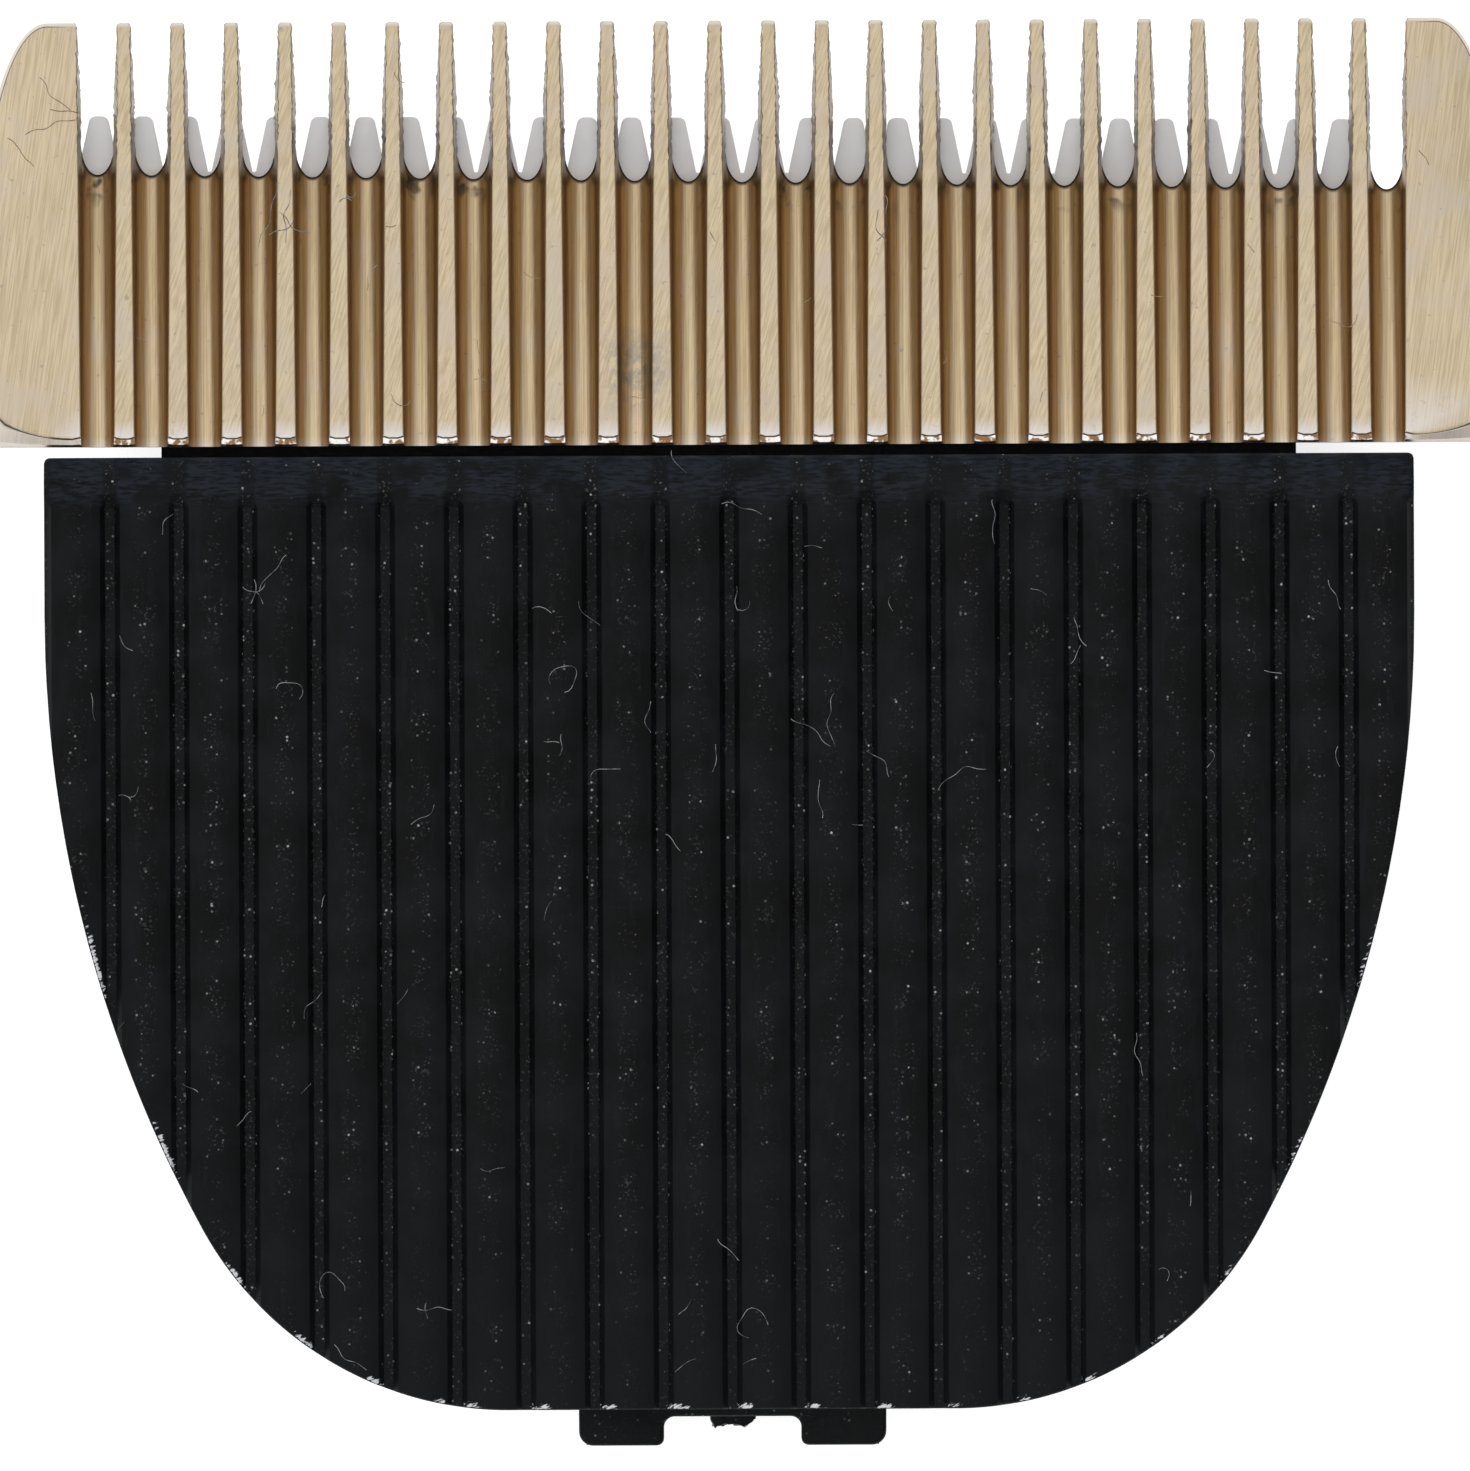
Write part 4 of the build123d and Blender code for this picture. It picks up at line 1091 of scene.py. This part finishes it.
lint = dict(
    thick=0.0095, sides=5, steps=16, rest=0.8, lift=0.02,
    sway=17, slow=7, fast=11, fastShare=0.4, phase=6.3, seed=7,
    paleLint=((0.06, 0.065, 0.07), (0.34, 0.345, 0.36)), brownHair=((0.17, 0.12, 0.075), (0.38, 0.28, 0.18)),
    onFace=(
        (-0.6, 6.4, 1.2, 0, -35), (1.7, 5.2, 0.5, 3, 0), (-5.9, 3.5, 0.6, 20, -60),
        (-4.6, 3.7, 0.95, -65, 35), (-5.4, 1.4, 1.9, 105, -290), (-0.2, 4.1, 0.7, -88, 10),
        (-0.15, 3.45, 0.5, -10, 110), (-2.6, 0.9, 0.95, -115, 50), (-5.6, -0.2, 0.45, -18, 0),
        (-5.1, 0.0, 0.62, -100, 0), (-4.3, -1.2, 0.95, 40, -55), (1.3, 0.4, 1.4, -20, -35),
        (2.5, 1.1, 1.5, -115, 50), (3.4, -0.5, 1.05, -25, -50), (-0.8, -0.3, 0.8, -98, 8),
        (4.1, 3.8, 0.45, -120, 60), (-0.8, -14.1, 0.85, -55, 15), (0.6, -16.5, 1.9, 100, 250),
        (-1.9, -16.2, 0.5, 55, 0), (-2.0, -17.8, 0.7, 28, 10), (-0.1, -17.6, 0.4, 20, 0),
        (-11.8, -4.8, 0.35, 60, 0), (-12.3, -7.9, 0.95, 75, -45), (-9.7, -7.5, 0.5, 62, 0),
        (-12.4, -10.0, 0.4, 55, 0), (-15.7, -9.7, 0.5, -40, 0), (-14.2, -10.9, 0.6, 70, -60),
        (-11.2, -15.5, 1.6, 80, 250), (-9.2, -16.0, 1.0, -3, 5), (-8.9, -16.3, 0.5, 85, 0),
        (-11.5, -17.0, 1.2, -50, 30), (-17.5, -8.2, 0.3, 40, 0), (10.9, -8.4, 1.25, -92, 25),
        (12.4, -12.8, 0.43, -100, 0), (11.5, -15.0, 0.6, 25, -150), (-13.6, 4.0, 0.4, 20, 30),
        (-13.6, 4.0, 0.35, 95, 0), (-13.6, 4.0, 0.4, 165, -30), (-13.6, 4.0, 0.35, 230, 20),
        (-13.6, 4.0, 0.4, 310, 0), (-13.5, 4.0, 1.3, 60, -20), (-17.4, 2.8, 0.6, -60, 20),
        (-17.2, -1.7, 0.5, 10, 60), (-17.1, -1.8, 0.4, 110, 80), (-12.4, 1.0, 1.2, 60, 200),
        (9.1, 1.9, 0.6, 40, 30), (9.2, 3.2, 0.9, -95, 60), (8.0, 4.0, 0.5, -30, 0), (5.4, -1.6, 1.6, 62, -80),
        (2.1, -1.3, 1.1, -88, 6), (3.0, -2.55, 0.3, -5, 0), (-2.2, -2.8, 0.65, -45, 0),
        (16.6, -1.0, 0.6, 110, -40), (14.5, 1.7, 0.5, -20, 0), (12.9, -1.0, 0.6, 45, 90),
        (16.3, 4.2, 0.9, -80, 30), (-9.3, -2.5, 0.9, 20, 40), (-5.6, -5.2, 0.6, 70, 0),
        (-7.4, -12.1, 0.7, -30, 60), (-18.2, 1.2, 0.8, -100, 40), (-2.0, 7.9, 0.8, -70, 25),
        (7.0, 7.1, 1.9, -92, 3), (-16.2, 5.6, 0.7, 75, -30), (-13.5, 6.5, 0.9, 110, 40),
    ),
    onComb=(
        (-13.0, 15.4, 1.9, -95, -25), (-12.6, 15.2, 1.5, -110, 30), (-12.9, 14.6, 1.1, -60, 50),
        (-12.5, 14.4, 0.9, -130, -40), (-11.05, 15.1, 0.4, -40, 120), (-10.9, 14.9, 0.4, 140, 100),
        (-10.2, 13.1, 0.8, -120, 20), (4.0, 15.0, 1.4, -70, -60), (3.8, 14.6, 1.0, -100, 50),
    ),
    cutHair=(
        (-19.6, 18.4, 1.3, -62, 30), (-20.0, 16.8, 1.5, 25, -15), (-20.5, 16.7, 1.1, -35, -30),
        (-19.3, 17.5, 0.8, 10, -40), (-9.8, 9.5, 0.8, -80, 150), (-16.9, 11.1, 0.3, -15, 0),
        (-7.4, 11.0, 0.4, -75, 0), (-7.5, 9.9, 0.35, -5, 0), (-7.37, 10.2, 0.6, -92, 10),
        (-13.4, 8.9, 0.25, 70, 0), (-18.0, 13.7, 0.25, -88, 0), (-9.95, 14.2, 0.3, -5, 20),
        (16.3, 11.7, 1.3, -85, 170), (-6.1, 12.9, 0.5, -40, 20), (-0.9, 14.0, 0.3, -70, 0),
        (5.6, 10.3, 0.4, 50, 60), (11.4, 12.2, 0.35, -20, 0), (8.3, 9.2, 0.3, 80, 0),
        (-3.1, 9.4, 0.4, 20, -50), (14.1, 13.6, 0.3, -60, 0), (-15.2, 13.0, 0.35, -100, 30),
        (1.7, 12.0, 0.25, 10, 0), (18.9, 16.2, 0.5, -70, 30), (-9.7, 18.5, 0.5, -60, 60),
    ),
)


def fibreFinish(name, dark, pale):
    made, tree, shader, coords = finish(name, specular=0.3)
    along = cloud(tree, coords, 3000, 2.0, 0.5)
    feed(tree, shader.inputs["Base Color"], tint(tree, between(tree, along, 0.35, 0.65), dark, pale))
    feed(tree, shader.inputs["Roughness"], between(tree, along, 0.3, 0.7, 0.5, 0.7))
    return made


def ribHeight(x, back):  # top of the ribbed face, millimetres
    away = abs((x / face["pitch"]) % 1 - 0.5) * face["pitch"]
    rib = (face["pitch"] - face["groove"]) / 2
    sink = face["ribCrown"] * min(1.0, (away / rib) ** 2)
    return min(slopeHeight(back), crownHeight(back) - sink)


def fibreTree():
    tree, keys, given, result = newTree("fibres", {"Thickness": "Float", "Sides": "Int", "Coat": "Material"})
    line = node(tree, "GeometryNodeMeshToCurve")
    feed(tree, line.inputs[0], given["Geometry"])
    ring = node(tree, "GeometryNodeCurvePrimitiveCircle")
    feed(tree, ring.inputs["Resolution"], given["Sides"])
    feed(tree, ring.inputs["Radius"], given["Thickness"])
    tube = node(tree, "GeometryNodeCurveToMesh")
    feed(tree, tube.inputs["Curve"], line.outputs[0])
    feed(tree, tube.inputs["Profile Curve"], ring.outputs[0])
    tube.inputs["Fill Caps"].default_value = True
    coated(tree, tube.outputs[0], given, result)
    return tree, keys


def buildFibres(label, groups, coat):
    points, edges = [], []
    shaker = random.Random(lint["seed"])
    for fibres, onComb in groups:
        for x, y, long, heading, bend in fibres:
            part = long / lint["steps"]
            slow, fast = shaker.uniform(0, lint["phase"]), shaker.uniform(0, lint["phase"])
            for i in range(lint["steps"] + 1):
                if onComb:
                    high = combLow.z / mm + outerHeight(y - combLow.y / mm)
                else:
                    high = ribHeight(x - holderX / mm, faceFront - y)
                lift = lint["thick"] * lint["rest"] + shaker.random() * lint["lift"]
                points.append(Vector((x, y, high + lift)) * mm)
                if i:
                    edges.append((len(points) - 2, len(points) - 1))
                waves = math.sin(slow + i * part * lint["slow"])
                waves += lint["fastShare"] * math.sin(fast + i * part * lint["fast"])
                turn = math.radians(heading + bend * i / lint["steps"] + lint["sway"] * waves)
                x, y = x + part * math.cos(turn), y + part * math.sin(turn)
    piece = meshPiece(label, points, [], edges=edges)
    tree, keys = fibreTree()
    runTree(piece, tree, keys, {"Thickness": lint["thick"] * mm, "Sides": lint["sides"], "Coat": coat})
    tidyMesh(piece, join=0.0001, sharp=80)
    settle(piece, "holder", "holder_plastic", coat)


def buildLint():
    pale = fibreFinish("paleLint", *lint["paleLint"])
    brown = fibreFinish("brownHair", *lint["brownHair"])
    buildFibres("lintFibres", ((lint["onFace"], False), (lint["onComb"], True)), pale)
    buildFibres("cutHair", ((lint["cutHair"], True),), brown)


# hidden side: screws, yoke and spring keep their CAD shapes

hidden = dict(
    screw=(0.55, 0.55, 0.56), screwRough=0.3, spring=(0.6, 0.6, 0.61), springRough=0.24,
    yokeDark=(0.035, 0.036, 0.04), yokePale=(0.06, 0.061, 0.066),
)


def steelFinish(name, base, rough):
    made, tree, shader, coords = finish(name, metallic=1.0)
    lines = streaks(tree, coords, (9000, 1500, 9000))
    dark = tuple(c * 0.75 for c in base)
    feed(tree, shader.inputs["Base Color"], tint(tree, lines, dark, base))
    feed(tree, shader.inputs["Roughness"], between(tree, lines, 0.3, 0.7, rough - 0.06, rough + 0.08))
    bumped(tree, shader, lines, 0.2, 0.004)
    return made


def yokeFinish():
    made, tree, shader, coords = finish("yokePlastic", specular=0.4)
    broad = cloud(tree, coords, 700)
    grain = cloud(tree, coords, 8000)
    feed(tree, shader.inputs["Base Color"], tint(tree, broad, hidden["yokeDark"], hidden["yokePale"]))
    feed(tree, shader.inputs["Roughness"], between(tree, grain, 0.3, 0.7, 0.38, 0.5))
    bumped(tree, shader, grain, 0.3, 0.01)
    return made


def buildHidden():
    screwSteel = steelFinish("screwSteel", hidden["screw"], hidden["screwRough"])
    springSteel = steelFinish("springSteel", hidden["spring"], hidden["springRough"])
    for name, label, body, slot, coat, sharp in (
        ("comb_screws", "combScrews", "holder", "screw_steel", screwSteel, 34),
        ("tension_spring", "tensionSpring", "holder", "spring_steel", springSteel, 50),
        ("drive_yoke", "driveYoke", "cutter", "yoke_plastic", yokeFinish(), 34),
    ):
        piece = solidCopy(name, label)
        tidyMesh(piece, sharp=sharp)
        settle(piece, body, slot, coat, name)


# studio

studio = dict(
    tent=1.2, port=1.45, portWide=0.62, portLong=0.40, portShift=-0.22, portSoft=0.16, blue=(0.80, 0.90, 1.0),
    blueFrom=(0.55, 0.95), right=0.5, rightFrom=(-0.2, 0.9), rear=0.6, rearFrom=(-0.9, 0.2),
    floorGlow=0.7, floorColour=0.75, reach=3.0, sunk=-2e-5,
)


def buildStudio():
    made = bpy.data.meshes.new("floor")
    r, low = studio["reach"], studio["sunk"]
    made.from_pydata([(-r, -r, low), (r, -r, low), (r, r, low), (-r, r, low)], [], [(0, 1, 2, 3)])
    floor = linked("floor", made)
    paper = bpy.data.materials.new("paleFloor")
    paper.use_nodes = True
    tree = paper.node_tree
    tree.nodes.remove(tree.nodes["Principled BSDF"])
    plain = node(tree, "ShaderNodeBsdfDiffuse")
    plain.inputs["Color"].default_value = (*(studio["floorColour"],) * 3, 1)
    glow = node(tree, "ShaderNodeEmission")
    light = node(tree, "ShaderNodeLightPath").outputs
    seen = calc(tree, "MAXIMUM", light["Is Glossy Ray"], light["Is Transmission Ray"])
    seen = calc(tree, "MAXIMUM", light["Is Camera Ray"], seen)
    feed(tree, glow.inputs["Strength"], times(tree, seen, studio["floorGlow"]))
    both = node(tree, "ShaderNodeAddShader")
    feed(tree, both.inputs[0], plain.outputs[0])
    feed(tree, both.inputs[1], glow.outputs[0])
    feed(tree, tree.nodes["Material Output"].inputs["Surface"], both.outputs[0])
    made.materials.append(paper)
    # a light tent with a dim oval port for the camera overhead, where u and v are slopes from the zenith
    world = bpy.data.worlds.new("lightTent")
    world.use_nodes = True
    scene.world = world
    tree = world.node_tree
    sky = tree.nodes["Background"]
    x, y, z = split(tree, node(tree, "ShaderNodeTexCoord").outputs["Generated"])
    up = calc(tree, "MAXIMUM", z, 0.05)
    u = calc(tree, "DIVIDE", calc(tree, "DIVIDE", x, up), studio["portWide"])
    v = calc(tree, "SUBTRACT", calc(tree, "DIVIDE", y, up), studio["portShift"])
    v = calc(tree, "DIVIDE", v, studio["portLong"])
    away = calc(tree, "SQRT", calc(tree, "ADD", times(tree, u, u), times(tree, v, v)))
    soft = studio["portSoft"]
    level = between(tree, away, 1 - soft, 1 + soft, studio["port"], studio["tent"])
    side = between(tree, x, *studio["rightFrom"], 1.0, studio["right"])
    rear = between(tree, y, *studio["rearFrom"], studio["rear"], 1.0)
    level = times(tree, level, times(tree, side, rear))
    seen = node(tree, "ShaderNodeLightPath").outputs["Is Camera Ray"]
    feed(tree, sky.inputs["Strength"], calc(tree, "MAXIMUM", level, seen))
    cool = times(tree, between(tree, y, *studio["blueFrom"]), calc(tree, "SUBTRACT", 1.0, seen))
    feed(tree, sky.inputs["Color"], tint(tree, cool, (1.0, 1.0, 1.0), studio["blue"]))
    print("studio ready")


view = dict(
    pixel=0.027912, across=1470, centre=(-0.257, -0.062), turn=0.235, away=1500.0, level=8.0, sensor=36,
    clip=(0.01, 20),
)


def buildCamera():
    lens = bpy.data.cameras.new("camera")
    camera = linked("camera", lens)
    turn = math.radians(view["turn"])
    x, y = view["centre"]
    x, y = x * math.cos(turn) + y * math.sin(turn), y * math.cos(turn) - x * math.sin(turn)
    camera.location = Vector((x, y, view["away"] + view["level"])) * mm
    camera.rotation_euler = (0, 0, -turn)
    lens.sensor_fit = "HORIZONTAL"
    lens.sensor_width = view["sensor"]
    lens.lens = lens.sensor_width * view["away"] / (view["across"] * view["pixel"])
    lens.clip_start, lens.clip_end = view["clip"]
    scene.camera = camera


buildComb(goldFinish())
buildCutter(ceramicFinish())
buildHolder(plasticFinish())
buildLint()
buildHidden()
buildStudio()
buildCamera()
scene.view_settings.view_transform = "Standard"
